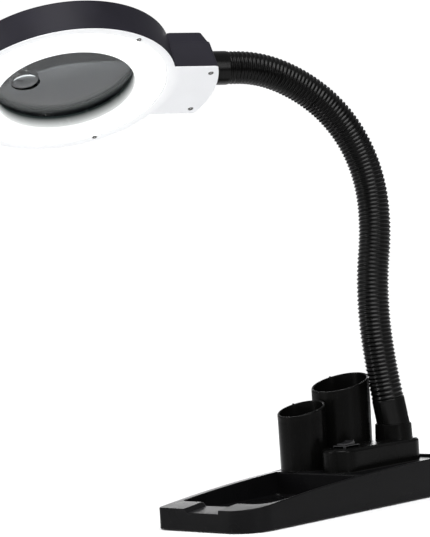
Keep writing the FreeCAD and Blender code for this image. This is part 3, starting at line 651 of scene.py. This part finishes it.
# ---------------- neck boss and switch
BOSS_X = 12.0
BOSS_R = 13.2
BOSS_Y = (19.6, 82.8)
BOSS_TOP = 39.8
CUP_CLEAR = 20.6            # radius of the hollow in the boss that clears the large cup
BOSS_EDGE_R = 2.3
TIER_R = 12.0               # raised round seat of the neck on the boss
NECK_FOOT = Vector((12.0, 77.0, 50.5))
SLOT_HALF = (4.6, 7.1)      # opening for the switch
SLOT_Z = (30.0, 45.0)
SWITCH_LOW, SWITCH_HIGH = [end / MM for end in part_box("switch_body")]
SWITCH_AT = (SWITCH_LOW + SWITCH_HIGH) / 2
SWITCH_HOLE_HALF = (3.75, 6.3)
ROCKER_HALF = (3.3, 5.6)
ROCKER_RISE = 2.6
ROCKER_NOSE = 1.1
ROCKER_TILT = math.radians(8.0)


def boss_plan(inset):
    """Oblong with round ends, hollowed on one side to clear the large cup."""
    r = BOSS_R - inset
    hollow = CUP_CLEAR + inset
    cx, cy = CUPS["large_cup"][0]
    reach = math.acos((BOSS_X - r - cx) / hollow)
    plan = quarter((BOSS_X, BOSS_Y[0]), r, -90, 12)
    plan += [(BOSS_X + r, y) for y in spaced(BOSS_Y[0], BOSS_Y[1], 8)[1:]]
    plan += quarter((BOSS_X, BOSS_Y[1]), r, 0, 12)
    plan += quarter((BOSS_X, BOSS_Y[1]), r, 90, 12)[1:]
    plan += quarter((cx, cy), hollow, math.degrees(reach), 16, -2 * math.degrees(reach))
    plan += quarter((BOSS_X, BOSS_Y[0]), r, 180, 12)[:-1]
    return plan


def centred(middle, half):
    """Ends of a span along x and along y, from its middle and its half sizes."""
    return [(at - reach, at + reach) for at, reach in zip(middle, half)]


def make_boss():
    """Boss with a round seat for the neck and an opening for the switch."""
    loops = [level(boss_plan(-0.4), DECK_Z - 0.05), level(boss_plan(0.0), DECK_Z + 0.4)]
    loops += [level(boss_plan(inset), BOSS_TOP - drop) for inset, drop in rolled(BOSS_EDGE_R, 6)]
    boss = skin("boss_moulding", loops)
    top, bore, foot_r = NECK_FOOT.z, TIER_R - 0.3, TIER_R + 0.9
    tier = [(0, BOSS_TOP - 4), (foot_r, BOSS_TOP - 4), (foot_r, BOSS_TOP), (foot_r - 0.1, BOSS_TOP + 0.8)]
    tier += quarter((TIER_R, top - 0.45), 0.45, 0, 4)
    tier += [(bore + 0.05, top - 0.15), (bore, top - 0.5), (bore, top - 4), (0, top - 4)]
    unite(boss, lathe("tier", tier, 96, centre=NECK_FOOT.xy))
    slot_x, slot_y = centred(SWITCH_AT.xy, SLOT_HALF)
    slot = rounded_plan(slot_x, slot_y, 0.5, 2)
    carve(boss, plate("slot", lambda inset: slot, *SLOT_Z, 0.1, 0.1))
    finish_surface(boss)
    return dress(boss, "base", "base_plastic", CUP_BLACK, "neck_boss")


def frame_loops(outer, inner, low, high, roll):
    """Cross-section loops of a rectangular frame with rolled top edges."""
    outer_r, inner_r, inner_roll = 1.2, 0.5, 0.3

    def at(half, grow, radius, z):
        x, y = centred(SWITCH_AT.xy, [reach + grow for reach in half])
        return level(rounded_plan(x, y, radius, 4), z)

    loops = [at(outer, 0.0, outer_r, low)]
    loops += [at(outer, -inset, outer_r - inset * 0.5, high - drop) for inset, drop in rolled(roll)]
    loops += [at(inner, inset, inner_r, high - drop) for inset, drop in reversed(rolled(inner_roll))]
    return loops + [at(inner, 0.0, inner_r, low)]


def make_switch():
    outer = (SWITCH_HIGH - SWITCH_LOW).xy / 2
    loops = frame_loops(outer, SWITCH_HOLE_HALF, BOSS_TOP - 0.02, SWITCH_HIGH.z, 0.5)
    bezel = skin("switch_bezel", loops, closed=True)
    finish_surface(bezel)
    dress(bezel, "base", "rocker_plastic", ROCKER_BLACK)
    pivot = Vector(JOINTS["power_switch"]["pos_m"]) / MM
    half_w, half_l = ROCKER_HALF
    rise = math.tan(ROCKER_TILT) * half_l
    high = ROCKER_RISE + rise
    side = [(-half_l, high - ROCKER_NOSE), (-half_l + 0.3, high - 0.4), (-half_l + ROCKER_NOSE, high - 0.05)]
    side += [(-half_l * 0.5, ROCKER_RISE + rise * 0.6), (0, ROCKER_RISE + 0.15)]
    side += [(-x, z) for x, z in reversed(side[:-1])]
    side += [(half_l - 0.9, -3.2), (0, -4.6), (-half_l + 0.9, -3.2)]
    loops = [[(x, y, z) for y, z in side] for x in (-half_w, half_w)]
    rocker = skin("rocker_cap", loops)
    soften = rocker.modifiers.new("soften", "BEVEL")
    soften.width = 0.35 * MM
    soften.segments = 3
    soften.angle_limit = math.radians(30)
    bake(rocker)
    rocker.data.transform(Matrix.Translation(pivot * MM) @ Matrix.Rotation(ROCKER_TILT, 4, "X"))
    finish_surface(rocker)
    dress(rocker, "rocker", "rocker_plastic", ROCKER_BLACK, "switch_rocker")


# ---------------- neck
RIDGE_R = 11.0
GROOVE_R = 10.2
RIDGES_PER_LINK = 11
RIDGE_PITCH = 2.755
STEPS_PER_RIDGE = 8
AROUND = 64
HALF_LINK = 15.15
COLLAR_END = 18.0
HEAD_COLLAR_L = 11.0
TUCK = 0.6                  # the sleeve starts this far inside a collar
BEND_ORDER = [
    "neck_lower_bend", "neck_side_bend", "neck_lower_bend_2", "neck_lower_bend_3", "neck_side_bend_2",
    "neck_upper_bend", "neck_upper_bend_2", "neck_side_bend_3", "neck_upper_bend_3",
]
BENDS = [Vector(JOINTS[bend_name]["pos_m"]) / MM for bend_name in BEND_ORDER]


def head_frame():
    """Head frame from the joints: x towards the neck, y along the lid's hinge, z out of the top."""
    y_axis = Vector(JOINTS["lid_hinge"]["axis"]).normalized()
    neck_side = Vector(JOINTS["neck_upper_bend_3"]["axis"])
    x_axis = neck_side.cross(y_axis).normalized()
    hinge = Vector(JOINTS["lid_hinge"]["pos_m"]) / MM
    if x_axis.dot(BENDS[-1] - hinge) < 0:
        x_axis = -x_axis
    z_axis = x_axis.cross(y_axis)
    turn = Matrix((x_axis, y_axis, z_axis)).transposed()
    origin = hinge - turn @ Vector((HINGE_X, 0, HINGE_Z))
    return Matrix.Translation(origin * MM) @ turn.to_4x4()


def ridge_radius(phase):
    """Sleeve radius at phase 0 to 1 along one ridge: a narrow round ridge in a wider groove."""
    wave = 0.5 - 0.5 * math.cos(2 * math.pi * phase)
    return GROOVE_R + (RIDGE_R - GROOVE_R) * wave ** 0.8


def tube(name, stations):
    """Tube through stations of (centre, direction, radius)."""
    side = Vector(JOINTS["neck_lower_bend"]["axis"])
    loops = []
    for centre, direction, radius in stations:
        across = direction.cross(side).normalized()
        turns = [2 * math.pi * i / AROUND for i in range(AROUND)]
        loops.append([centre + (side * math.cos(a) + across * math.sin(a)) * radius for a in turns])
    return skin(name, loops, caps=False)


def arc_between(start, bend, end):
    """Points and directions on the round bend that leaves start and reaches end, both aimed at bend."""
    first = (bend - start).normalized()
    last = (end - bend).normalized()
    angle = first.angle(last)
    reach = (bend - start).length

    def at(share):
        if angle < 1e-4:
            return start.lerp(end, share), first
        radius = reach / math.tan(angle / 2)
        inward = (last - first * math.cos(angle)).normalized()
        swept = angle * share
        place = start + first * radius * math.sin(swept) + inward * radius * (1 - math.cos(swept))
        return place, first * math.cos(swept) + inward * math.sin(swept)
    return at


def ridged(name, at, ridges):
    """Corrugated stretch of the sleeve along at(share), ending in a groove at both ends."""
    steps = ridges * STEPS_PER_RIDGE
    stations = []
    for i in range(steps + 1):
        place, direction = at(i / steps)
        stations.append((place, direction, ridge_radius((i % STEPS_PER_RIDGE) / STEPS_PER_RIDGE)))
    piece = tube(name, stations)
    piece.data.shade_smooth()
    return piece


def ridged_straight(name, start, end, direction):
    """Straight corrugated stretch, with as many ridges as fit."""
    ridges = round((end - start).length / RIDGE_PITCH)
    return ridged(name, lambda share: (start.lerp(end, share), direction), ridges)


def make_neck(tip):
    """Sleeve of the neck, in one piece for each bend and one at each end, and its lower collar."""
    upright = (BENDS[0] - NECK_FOOT).normalized()
    mids = [BENDS[0] - upright * HALF_LINK]
    for a, b in zip(BENDS, BENDS[1:]):
        mids.append((a + b) / 2)
    outward = (tip - BENDS[-1]).normalized()
    mids.append(BENDS[-1] + outward * HALF_LINK)
    for i, bend in enumerate(BENDS):
        at = arc_between(mids[i], bend, mids[i + 1])
        piece = ridged(f"neck_ridges_{i + 1}", at, RIDGES_PER_LINK)
        piece.data.materials.append(SLEEVE_BLACK)
        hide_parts(f"neck_sleeve_{i}")
        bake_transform(piece)
    collar_end = NECK_FOOT + upright * (COLLAR_END - TUCK)
    low = ridged_straight("neck_ridges_0", collar_end, mids[0], upright)
    dress(low, "base", "sleeve_plastic", SLEEVE_BLACK)
    head_end = tip - outward * (HEAD_COLLAR_L - TUCK)
    high = ridged_straight("neck_ridges_10", mids[-1], head_end, outward)
    dress(high, "head", "sleeve_plastic", SLEEVE_BLACK, "neck_sleeve_9")
    bore, foot_r = GROOVE_R - 0.6, RIDGE_R + 0.25
    profile = [(bore, -3.3), (foot_r, -3.3), (foot_r, 1.0), (foot_r - 0.05, 2.0)]
    profile += [(foot_r - 0.2, COLLAR_END - 1.2)]
    profile += quarter((foot_r - 0.9, COLLAR_END - 0.9), 0.7, 0, 4)[1:] + [(bore, COLLAR_END - 0.2)]
    collar = lathe("collar_low", profile, AROUND, closed=True)
    turned_to(collar, upright, NECK_FOOT * MM)
    finish_surface(collar)
    dress(collar, "base", "sleeve_plastic", SLEEVE_BLACK, "neck_collar")


# ---------------- head
HEAD_R = 72.6
HEAD_H = 22.4
COVER_T = 1.4
COVER_LIP_T = 0.5           # the cover's edge laps under the wall
BLOCK_Y = (-27.0, 31.0)
BLOCK_SIDE_X = 98.0
BLOCK_END_X = 103.0
BLOCK_DRAFT = 0.13          # its end leans in as it rises
BLOCK_H = 20.0
BLOCK_ROUND_R = 2.2
SHELL_T = 2.2
HUMP_FOOT = ((64.5, 95.0), (-26.4, 30.4))
HUMP_IN = (3.5, 2.0, 3.8)   # how far its slopes run in, at the ring, at the end and at the sides
HUMP_Z = 29.6
HUMP_ROLL = 1.1
NECK_AXIS_Z = 15.9
DIFFUSER_R = (50.3, 66.4)
OPENING_R = 45.4
LENS_R = 49.7
LENS_EDGE_Z = (9.5, 12.5)
LENS_SAG = (3.0, 3.4)
BARREL_R = 48.5
LEAN_X = 90.0               # the block's end starts to lean past here
LID_R = 54.0
LID_Z = 22.7
LID_TAB_HALF = 9.0
HINGE_X = 60.5
HINGE_Z = 25.5
LUG_Y = (-12.0, 12.0)
LUG_HALF = 2.5
LUG_EYE_R = 2.6
INSET_R = 9.5
INSET_EDGE_Z = (8.2, 13.6)
INSET_SAG = (1.6, 2.2)
SCREW_ANGLES = (60.0, 180.0, 300.0)
RING_SCREW_R = 68.3
BLOCK_SCREWS = ((94.5, -18.5), (93.0, 25.5))


def block_plan(inset, start_x=62.0, round_r=BLOCK_ROUND_R):
    """Neck block: straight sides, round corners and a gently bowed end."""
    middle = (BLOCK_Y[0] + BLOCK_Y[1]) / 2
    half = (BLOCK_Y[1] - BLOCK_Y[0]) / 2 - inset
    side, end = BLOCK_SIDE_X - inset, BLOCK_END_X - inset
    bowed = 12
    near = [(start_x, -half), (side - round_r, -half)]
    near += quarter((side - round_r, round_r - half), round_r, -90, 4, 72)[1:]
    x_first, y_first = near[-1]
    plan = list(near)
    for i in range(1, bowed):
        y = y_first * (1 - 2 * i / bowed)
        plan.append((x_first + (end - x_first) * (1 - (y / y_first) ** 2), y))
    plan += [(x, -y) for x, y in reversed(near)]
    return [(x, y + middle) for x, y in plan]


def lean_in(piece):
    """Draw the block's end in towards its top."""
    for vertex in piece.data.vertices:
        x, z = vertex.co.x / MM, vertex.co.z / MM
        if x > LEAN_X:
            share = (x - LEAN_X) / (BLOCK_SIDE_X - LEAN_X)
            vertex.co.x -= BLOCK_DRAFT * z * min(share, 1.0) * MM
    return piece


def hump_plan(share):
    """Outline of the raised roof, from share 0 at its foot to 1 at its top."""
    (x0, x1), (y0, y1) = HUMP_FOOT
    at_ring, at_end, at_side = [run * share for run in HUMP_IN]
    return rounded_plan((x0 + at_ring, x1 - at_end), (y0 + at_side, y1 - at_side), 2.6, 5)


def on_hinge(radius, half, chamfer, y=0.0):
    """Knuckle lying on the lid's hinge, with its middle at y."""
    face_r, shoulder = radius - chamfer, half - chamfer
    profile = [(0, -half), (face_r, -half), (radius, -shoulder)]
    profile += [(radius, shoulder), (face_r, half), (0, half)]
    knuckle = lathe("eye", profile, 32)
    lie_down = Matrix.Rotation(math.pi / 2, 4, "X")
    knuckle.data.transform(Matrix.Translation(Vector((HINGE_X, y, HINGE_Z)) * MM) @ lie_down)
    return knuckle


def make_head_shell(place):
    """Round head with its neck block, raised roof and the lid's two lugs."""
    foot = COVER_LIP_T + 0.03
    barrel_top = LENS_EDGE_Z[1] + 0.3
    seat = LENS_EDGE_Z[0] - 0.1
    disc = [(HEAD_R, foot), (HEAD_R - 0.45, HEAD_H - 1.6)]
    disc += quarter((HEAD_R - 2.05, HEAD_H - 1.6), 1.6, 0, 6)[1:]
    disc += [(BARREL_R + 1.0, HEAD_H), (BARREL_R + 0.3, HEAD_H - 0.3), (BARREL_R, HEAD_H - 1.0)]
    disc += [(BARREL_R, barrel_top), (LENS_R + 0.2, barrel_top), (LENS_R + 0.2, seat), (LENS_R + 2.4, seat)]
    disc += [(LENS_R + 2.4, HEAD_H - 2.2), (HEAD_R - 2.8, HEAD_H - 2.2), (HEAD_R - 2.4, foot)]
    shell = lathe("head_moulding", disc, 160, closed=True)
    block = lean_in(plate("block", block_plan, foot, BLOCK_H, 1.2, 0.05))

    def hollow_plan(inset):
        return block_plan(inset + SHELL_T, 73.0, 1.0)

    hollow = lean_in(plate("hollow", hollow_plan, -1.0, BLOCK_H - SHELL_T, 0.5, 0.05))
    loops = [level(hump_plan(0.0), BLOCK_H - 1.5), level(hump_plan(0.0), BLOCK_H)]
    slope = (HUMP_Z - HUMP_ROLL - BLOCK_H) / (HUMP_Z - BLOCK_H)
    for share, drop in rolled(1.0, 4):
        loops.append(level(hump_plan(slope + 0.35 * share), HUMP_Z - HUMP_ROLL * drop))
    roof = skin("roof", loops)
    unite(shell, block, roof)
    carve(shell, hollow)
    for y in LUG_Y:
        lug_plan = inset_plan(*centred((HINGE_X, y), (LUG_EYE_R, LUG_HALF)), 0.4, 2)
        eye = on_hinge(LUG_EYE_R, LUG_HALF, 0.4, y)
        unite(shell, plate("lug", lug_plan, HEAD_H - 0.5, HINGE_Z, 0.1, 0.05), eye)
    finish_surface(shell)
    shell.data.transform(place)
    return dress(shell, "head", "head_plastic", HEAD_BLACK, "head_shell")


def screw_spots():
    spots = []
    for angle in SCREW_ANGLES:
        a = math.radians(angle)
        spots.append((RING_SCREW_R * math.cos(a), RING_SCREW_R * math.sin(a)))
    return spots + list(BLOCK_SCREWS)


def cover_block_plan(inset):
    """The block's outline with its start hollowed out, so that it stops on the cover's ring."""
    plan = block_plan(inset + 0.2)[1:-1]
    seam_r = (DIFFUSER_R[1] + HEAD_R) / 2
    first, last = [math.degrees(math.asin(y / seam_r)) for y in (plan[-1][1], plan[0][1])]
    return plan + quarter((0.0, 0.0), seam_r, first, 16, last - first)


def make_cover(place):
    """White cover: a flat ring and the block's plate, with a shallow seat for each screw."""
    profile = [(DIFFUSER_R[1] + 0.15, COVER_T), (DIFFUSER_R[1] + 0.15, 0.3), (DIFFUSER_R[1] + 0.45, 0.0)]
    profile += [(HEAD_R - 0.5, 0.0)] + quarter((HEAD_R - 0.5, 0.3), 0.3, -90, 3)[1:]
    profile += [(HEAD_R - 0.2, COVER_LIP_T), (HEAD_R - 2.7, COVER_LIP_T), (HEAD_R - 2.7, COVER_T)]
    cover = lathe("cover_moulding", profile, 160, closed=True)
    unite(cover, plate("cover_block", cover_block_plan, 0.0, COVER_LIP_T, 0.05, 0.3))
    seat = [(0, -1), (2.2, -1), (2.2, 0.0), (2.0, 0.15), (2.0, 0.42), (0, 0.42)]
    for spot in screw_spots():
        carve(cover, lathe("seat", seat, 24, centre=spot))
    finish_surface(cover)
    round_and_out(cover)
    cover.data.transform(place)
    return dress(cover, "head", "white_plastic", COVER_PAINTED_GLOW, "underside_cover")


def make_diffuser(place):
    inner, outer = DIFFUSER_R
    back_z, edge_z = 1.6, 0.6
    profile = [(inner, back_z), (inner, edge_z), (inner + 0.4, 0.25)]
    profile += [(inner + 2, 0.12), ((inner + outer) / 2, 0.02), (outer - 2, 0.12)]
    profile += [(outer - 0.3, 0.25), (outer, edge_z), (outer, back_z)]
    ring = lathe("diffuser_ring", profile, 240, closed=True)
    finish_surface(ring, 60)
    round_and_out(ring)
    ring.data.transform(place)
    return dress(ring, "head", "diffuser", DIFFUSER, "light_diffuser")


def round_and_out(ring, by_depth=False):
    """UV map of a ring built about Z: the share of a turn, and the radius or the height in mm."""
    uv = ring.data.uv_layers.new(name=RING_MAP)
    for face in ring.data.polygons:
        spots = [ring.data.vertices[i].co for i in face.vertices]
        turns = [math.atan2(spot.y, spot.x) / (2 * math.pi) for spot in spots]
        seam = max(turns) - min(turns) > 0.5
        for loop, spot, turn in zip(face.loop_indices, spots, turns):
            out = spot.z if by_depth else spot.xy.length
            uv.data[loop].uv = (turn + 1 if seam and turn < 0 else turn, out / MM)


def make_bezel(place):
    """Ring between the light and the lens: a narrow face, and a wall up to the glass."""
    top = LENS_EDGE_Z[0] - 0.4
    profile = [(OPENING_R, top - 0.3), (OPENING_R, 0.8)]
    profile += quarter((OPENING_R + 0.8, 0.8), 0.8, 180, 4)[1:]
    outer, seat_r = DIFFUSER_R[0] - 0.2, LENS_R + 2.2
    profile += [(outer - 0.4, 0.0), (outer, 0.4), (outer, 4.0), (seat_r, 4.0), (seat_r, top)]
    bezel = lathe("bezel_moulding", profile, 160, closed=True)
    finish_surface(bezel)
    round_and_out(bezel, by_depth=True)
    bezel.data.transform(place)
    return dress(bezel, "head", "white_plastic", BEZEL_PAINTED_SHADE_AND_GLOW, "lens_bezel")


def dome(radius, sag, steps):
    """(radius, rise) points of a spherical cap from its rim to its pole."""
    ball = (radius * radius + sag * sag) / (2 * sag)
    points = []
    for i in range(steps + 1):
        r = radius * math.cos(math.pi / 2 * i / steps)
        points.append((max(r, 0.0) if i < steps else 0.0, sag - ball + math.sqrt(ball * ball - r * r)))
    return points


def lens(name, radius, edge, sag, centre=(0.0, 0.0)):
    steps = 20
    under = [(r, edge[0] - rise) for r, rise in reversed(dome(radius, sag[0], steps))]
    over = [(r, edge[1] + rise) for r, rise in dome(radius, sag[1], steps)]
    return lathe(name, under + over, 160, centre=centre)


def make_lenses(place):
    """Main lens, bored for the small strong lens that is set into it."""
    low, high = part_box("inset_lens")
    inset_at = (place.inverted() @ ((low + high) / 2) / MM).xy
    main = lens("magnifier", LENS_R, LENS_EDGE_Z, LENS_SAG)
    bore_r = INSET_R + 0.05
    carve(main, lathe("bore", [(0, 0), (bore_r, 0), (bore_r, 30), (0, 30)], 64, centre=inset_at))
    small = lens("inset_magnifier", INSET_R, INSET_EDGE_Z, INSET_SAG, inset_at)
    for piece, node in ((main, "main_lens"), (small, "inset_lens")):
        piece.data.shade_smooth()
        piece.data.set_sharp_from_angle(angle=math.radians(30))
        piece.data.transform(place)
        dress(piece, "head", "lens_glass", GLASS, node)


def make_lid(place):
    """Lens lid with a rib below, a raised pad, a finger tab and a hinge arm."""
    top = LID_Z + 2.2
    rib_z = LID_Z - 1.8
    rib_in, rib_out = 45.6, 47.4
    disc = [(0, LID_Z), (rib_in, LID_Z), (rib_in, rib_z + 0.3), (rib_in + 0.3, rib_z)]
    disc += [(rib_out - 0.3, rib_z), (rib_out, rib_z + 0.3), (rib_out, LID_Z)]
    disc += [(LID_R - 0.4, LID_Z), (LID_R, LID_Z + 0.4), (LID_R + 0.3, LID_Z + 0.9)]
    disc += [(LID_R - 0.2, LID_Z + 1.5), (LID_R - 1.4, top)]
    disc += [(40, top + 0.35), (28, top + 0.6), (18, top + 0.8)]
    disc += [(16.5, top + 0.55), (15.5, top + 0.55), (14, top + 0.85), (0, top + 1.0)]
    lid = lathe("lid_moulding", disc, 160)
    half = LID_TAB_HALF
    tab_plan = inset_plan((-LID_R - 4.4, -LID_R + 6), (-half, half), 2.5, 6)
    tab = plate("tab", tab_plan, LID_Z + 0.02, LID_Z + 1.8)
    arm_plan = inset_plan((LID_R - 6, HINGE_X - 0.6), (-half, half), 0.6, 3)
    arm = plate("arm", arm_plan, LID_Z + 0.02, HINGE_Z + 0.55)
    unite(lid, tab, arm, on_hinge(2.5, half, 0.3))
    finish_surface(lid)
    round_and_out(lid)
    lid.data.transform(place)
    return dress(lid, "lid", "lid_plastic", LID_GREY, "lens_lid")


def make_head_collar(place):
    """Collar on the neck block, where the sleeve goes into the head."""
    bore, rim_r, end = GROOVE_R - 1, RIDGE_R + 0.3, HEAD_COLLAR_L - 0.4
    profile = [(bore, -6.0), (rim_r, -6.0), (rim_r, end - 1.0)]
    profile += quarter((rim_r - 0.7, end - 0.7), 0.7, 0, 4)[1:] + [(bore, end)]
    collar = lathe("collar_high", profile, AROUND, closed=True)
    turned_to(collar, Vector((1, 0, 0)), Vector((BLOCK_END_X + 0.4, 0, NECK_AXIS_Z)) * MM)
    finish_surface(collar)
    collar.data.transform(place)
    return dress(collar, "head", "sleeve_plastic", SLEEVE_BLACK, "head_collar")


# ---------------- carried-over nodes
CARRIED = {
    "base_cover": BASE_BLACK, "base_pad": FOAM, "base_screws": STEEL, "ballast_plate": BALLAST,
    "ballast_block": BALLAST, "power_socket": ROCKER_BLACK, "power_socket_pin": CONTACT,
    "power_lead": LEAD_BLACK, "switch_lead": LEAD_BLACK, "switch_terminals": CONTACT,
    "switch_body": ROCKER_BLACK, "neck_nut": STEEL,
    "led_board": BOARD_WHITE, "leds": CHIP_YELLOW, "lens_retainer": HEAD_BLACK, "ring_screws": DARK_STEEL,
    "block_screws": DARK_STEEL, "board_screws": STEEL, "head_nut": STEEL, "driver_board": BOARD_WHITE,
    "driver_parts": PART_DARK, "head_lead": LEAD_BLACK, "lid_pin": STEEL,
}


def dress_nodes():
    """Give a material to each node that is shown as its CAD shape."""
    cores = {f"neck_core_{i}": STEEL for i in range(len(BENDS) + 1)}
    for node, material in {**CARRIED, **cores}.items():
        mesh_slots = frame["nodes"][node].data.materials
        mesh_slots.clear()
        mesh_slots.append(material)


# ---------------- studio
CAMERA_AIM = Vector((-0.0465, -0.0301, 0.1643))
CAMERA_FORWARD = Vector((-0.6709, 0.7412, -0.023))
CAMERA_DISTANCE = 1.6
CAMERA_ROLL = math.radians(-3.5)
CAMERA_LENS = 160.9
FLOOR_R = 700.0
BACKDROP_WHITE = (1.02, 1.02, 1.02, 1.0)
OVERHEAD_FROM = (0.4, -0.45, 0.85)
OVERHEAD_POWER = 2.9
OVERHEAD_SIZE = math.radians(38)
# Place, aim, width and height in metres, and power in watts.
SOFTBOXES = {
    "backdrop": ((-1.3, 1.45, 0.35), (0, 0, 0.1), (2.2, 0.5), 12.0),
    "left_strip": ((-0.9, -1.5, 0.7), (0, 0, 0.15), (0.16, 1.2), 14.0),
    "right_strip": ((1.6, -0.35, 0.7), (0, 0, 0.15), (0.16, 1.2), 9.0),
}
SURROUND_LOW = (0.07, 0.07, 0.073)
SURROUND_HIGH = (0.42, 0.42, 0.43)


def make_camera():
    data = bpy.data.cameras.new("camera")
    data.lens = CAMERA_LENS
    camera = new_piece("camera", data)
    camera.location = CAMERA_AIM - CAMERA_FORWARD.normalized() * CAMERA_DISTANCE
    camera.rotation_mode = "QUATERNION"
    level = CAMERA_FORWARD.to_track_quat("-Z", "Y")
    camera.rotation_quaternion = level @ Quaternion((0, 0, 1), CAMERA_ROLL)
    bpy.context.scene.camera = camera


def new_light(name, kind, power, towards):
    """Light that shines in the direction towards."""
    light = new_piece(name, bpy.data.lights.new(name, kind))
    light.data.energy = power
    light.rotation_euler = towards.to_track_quat("-Z", "Y").to_euler()
    return light


def softbox(name, place, aim, size, power):
    """Rectangular studio light at place, aimed at aim."""
    light = new_light(name, "AREA", power, Vector(aim) - Vector(place))
    light.data.shape = "RECTANGLE"
    light.data.size, light.data.size_y = size
    light.location = place


def overhead():
    """Broad even light from above and in front, as from a large studio lamp."""
    new_light("overhead", "SUN", OVERHEAD_POWER, -Vector(OVERHEAD_FROM)).data.angle = OVERHEAD_SIZE


def make_world():
    """Studio surround: a white backdrop to look at, and a softer glow that lights the lamp."""
    world = bpy.data.worlds.new("studio")
    bpy.context.scene.world = world
    world.use_nodes = True
    tree = world.node_tree
    links = tree.links
    surround = tree.nodes["Background"]
    place = tree.nodes.new("ShaderNodeTexCoord")
    split = tree.nodes.new("ShaderNodeSeparateXYZ")
    links.new(place.outputs["Generated"], split.inputs["Vector"])
    tone = colours(tree, split.outputs["Z"], SURROUND_LOW, SURROUND_HIGH, (-0.02, 0.16))
    links.new(tone, surround.inputs["Color"])
    backdrop = tree.nodes.new("ShaderNodeBackground")
    backdrop.inputs["Color"].default_value = BACKDROP_WHITE
    seen = tree.nodes.new("ShaderNodeLightPath")
    choose = tree.nodes.new("ShaderNodeMixShader")
    links.new(seen.outputs["Is Camera Ray"], choose.inputs["Fac"])
    links.new(surround.outputs["Background"], choose.inputs[1])
    links.new(backdrop.outputs["Background"], choose.inputs[2])
    links.new(choose.outputs["Shader"], tree.nodes["World Output"].inputs["Surface"])


def make_studio():
    make_camera()
    make_world()
    floor = skin("floor", [circle(radius, 0.0, 96) for radius in (0, 200, FLOOR_R)], caps=False)
    paper, tree, shader = blank("paper")
    tint(tree, shader, noise(tree, 3.0), (0.88, 0.88, 0.88), (0.9, 0.9, 0.9))
    shader.inputs["Roughness"].default_value = 0.9
    shader.inputs["Specular IOR Level"].default_value = 0.1
    floor.data.materials.append(paper)
    overhead()
    for name, setting in SOFTBOXES.items():
        softbox(name, *setting)
    bpy.context.scene.view_settings.view_transform = "Standard"


# ---------------- build
make_studio()
head_place = head_frame()
neck_tip = head_place @ (Vector((BLOCK_END_X, 0, NECK_AXIS_Z)) * MM) / MM
make_base()
for cup_node in CUPS:
    make_cup(cup_node)
make_boss()
make_switch()
make_neck(neck_tip)
make_head_shell(head_place)
make_cover(head_place)
make_diffuser(head_place)
make_bezel(head_place)
make_lenses(head_place)
make_lid(head_place)
make_head_collar(head_place)
dress_nodes()

bpy.context.view_layer.update()
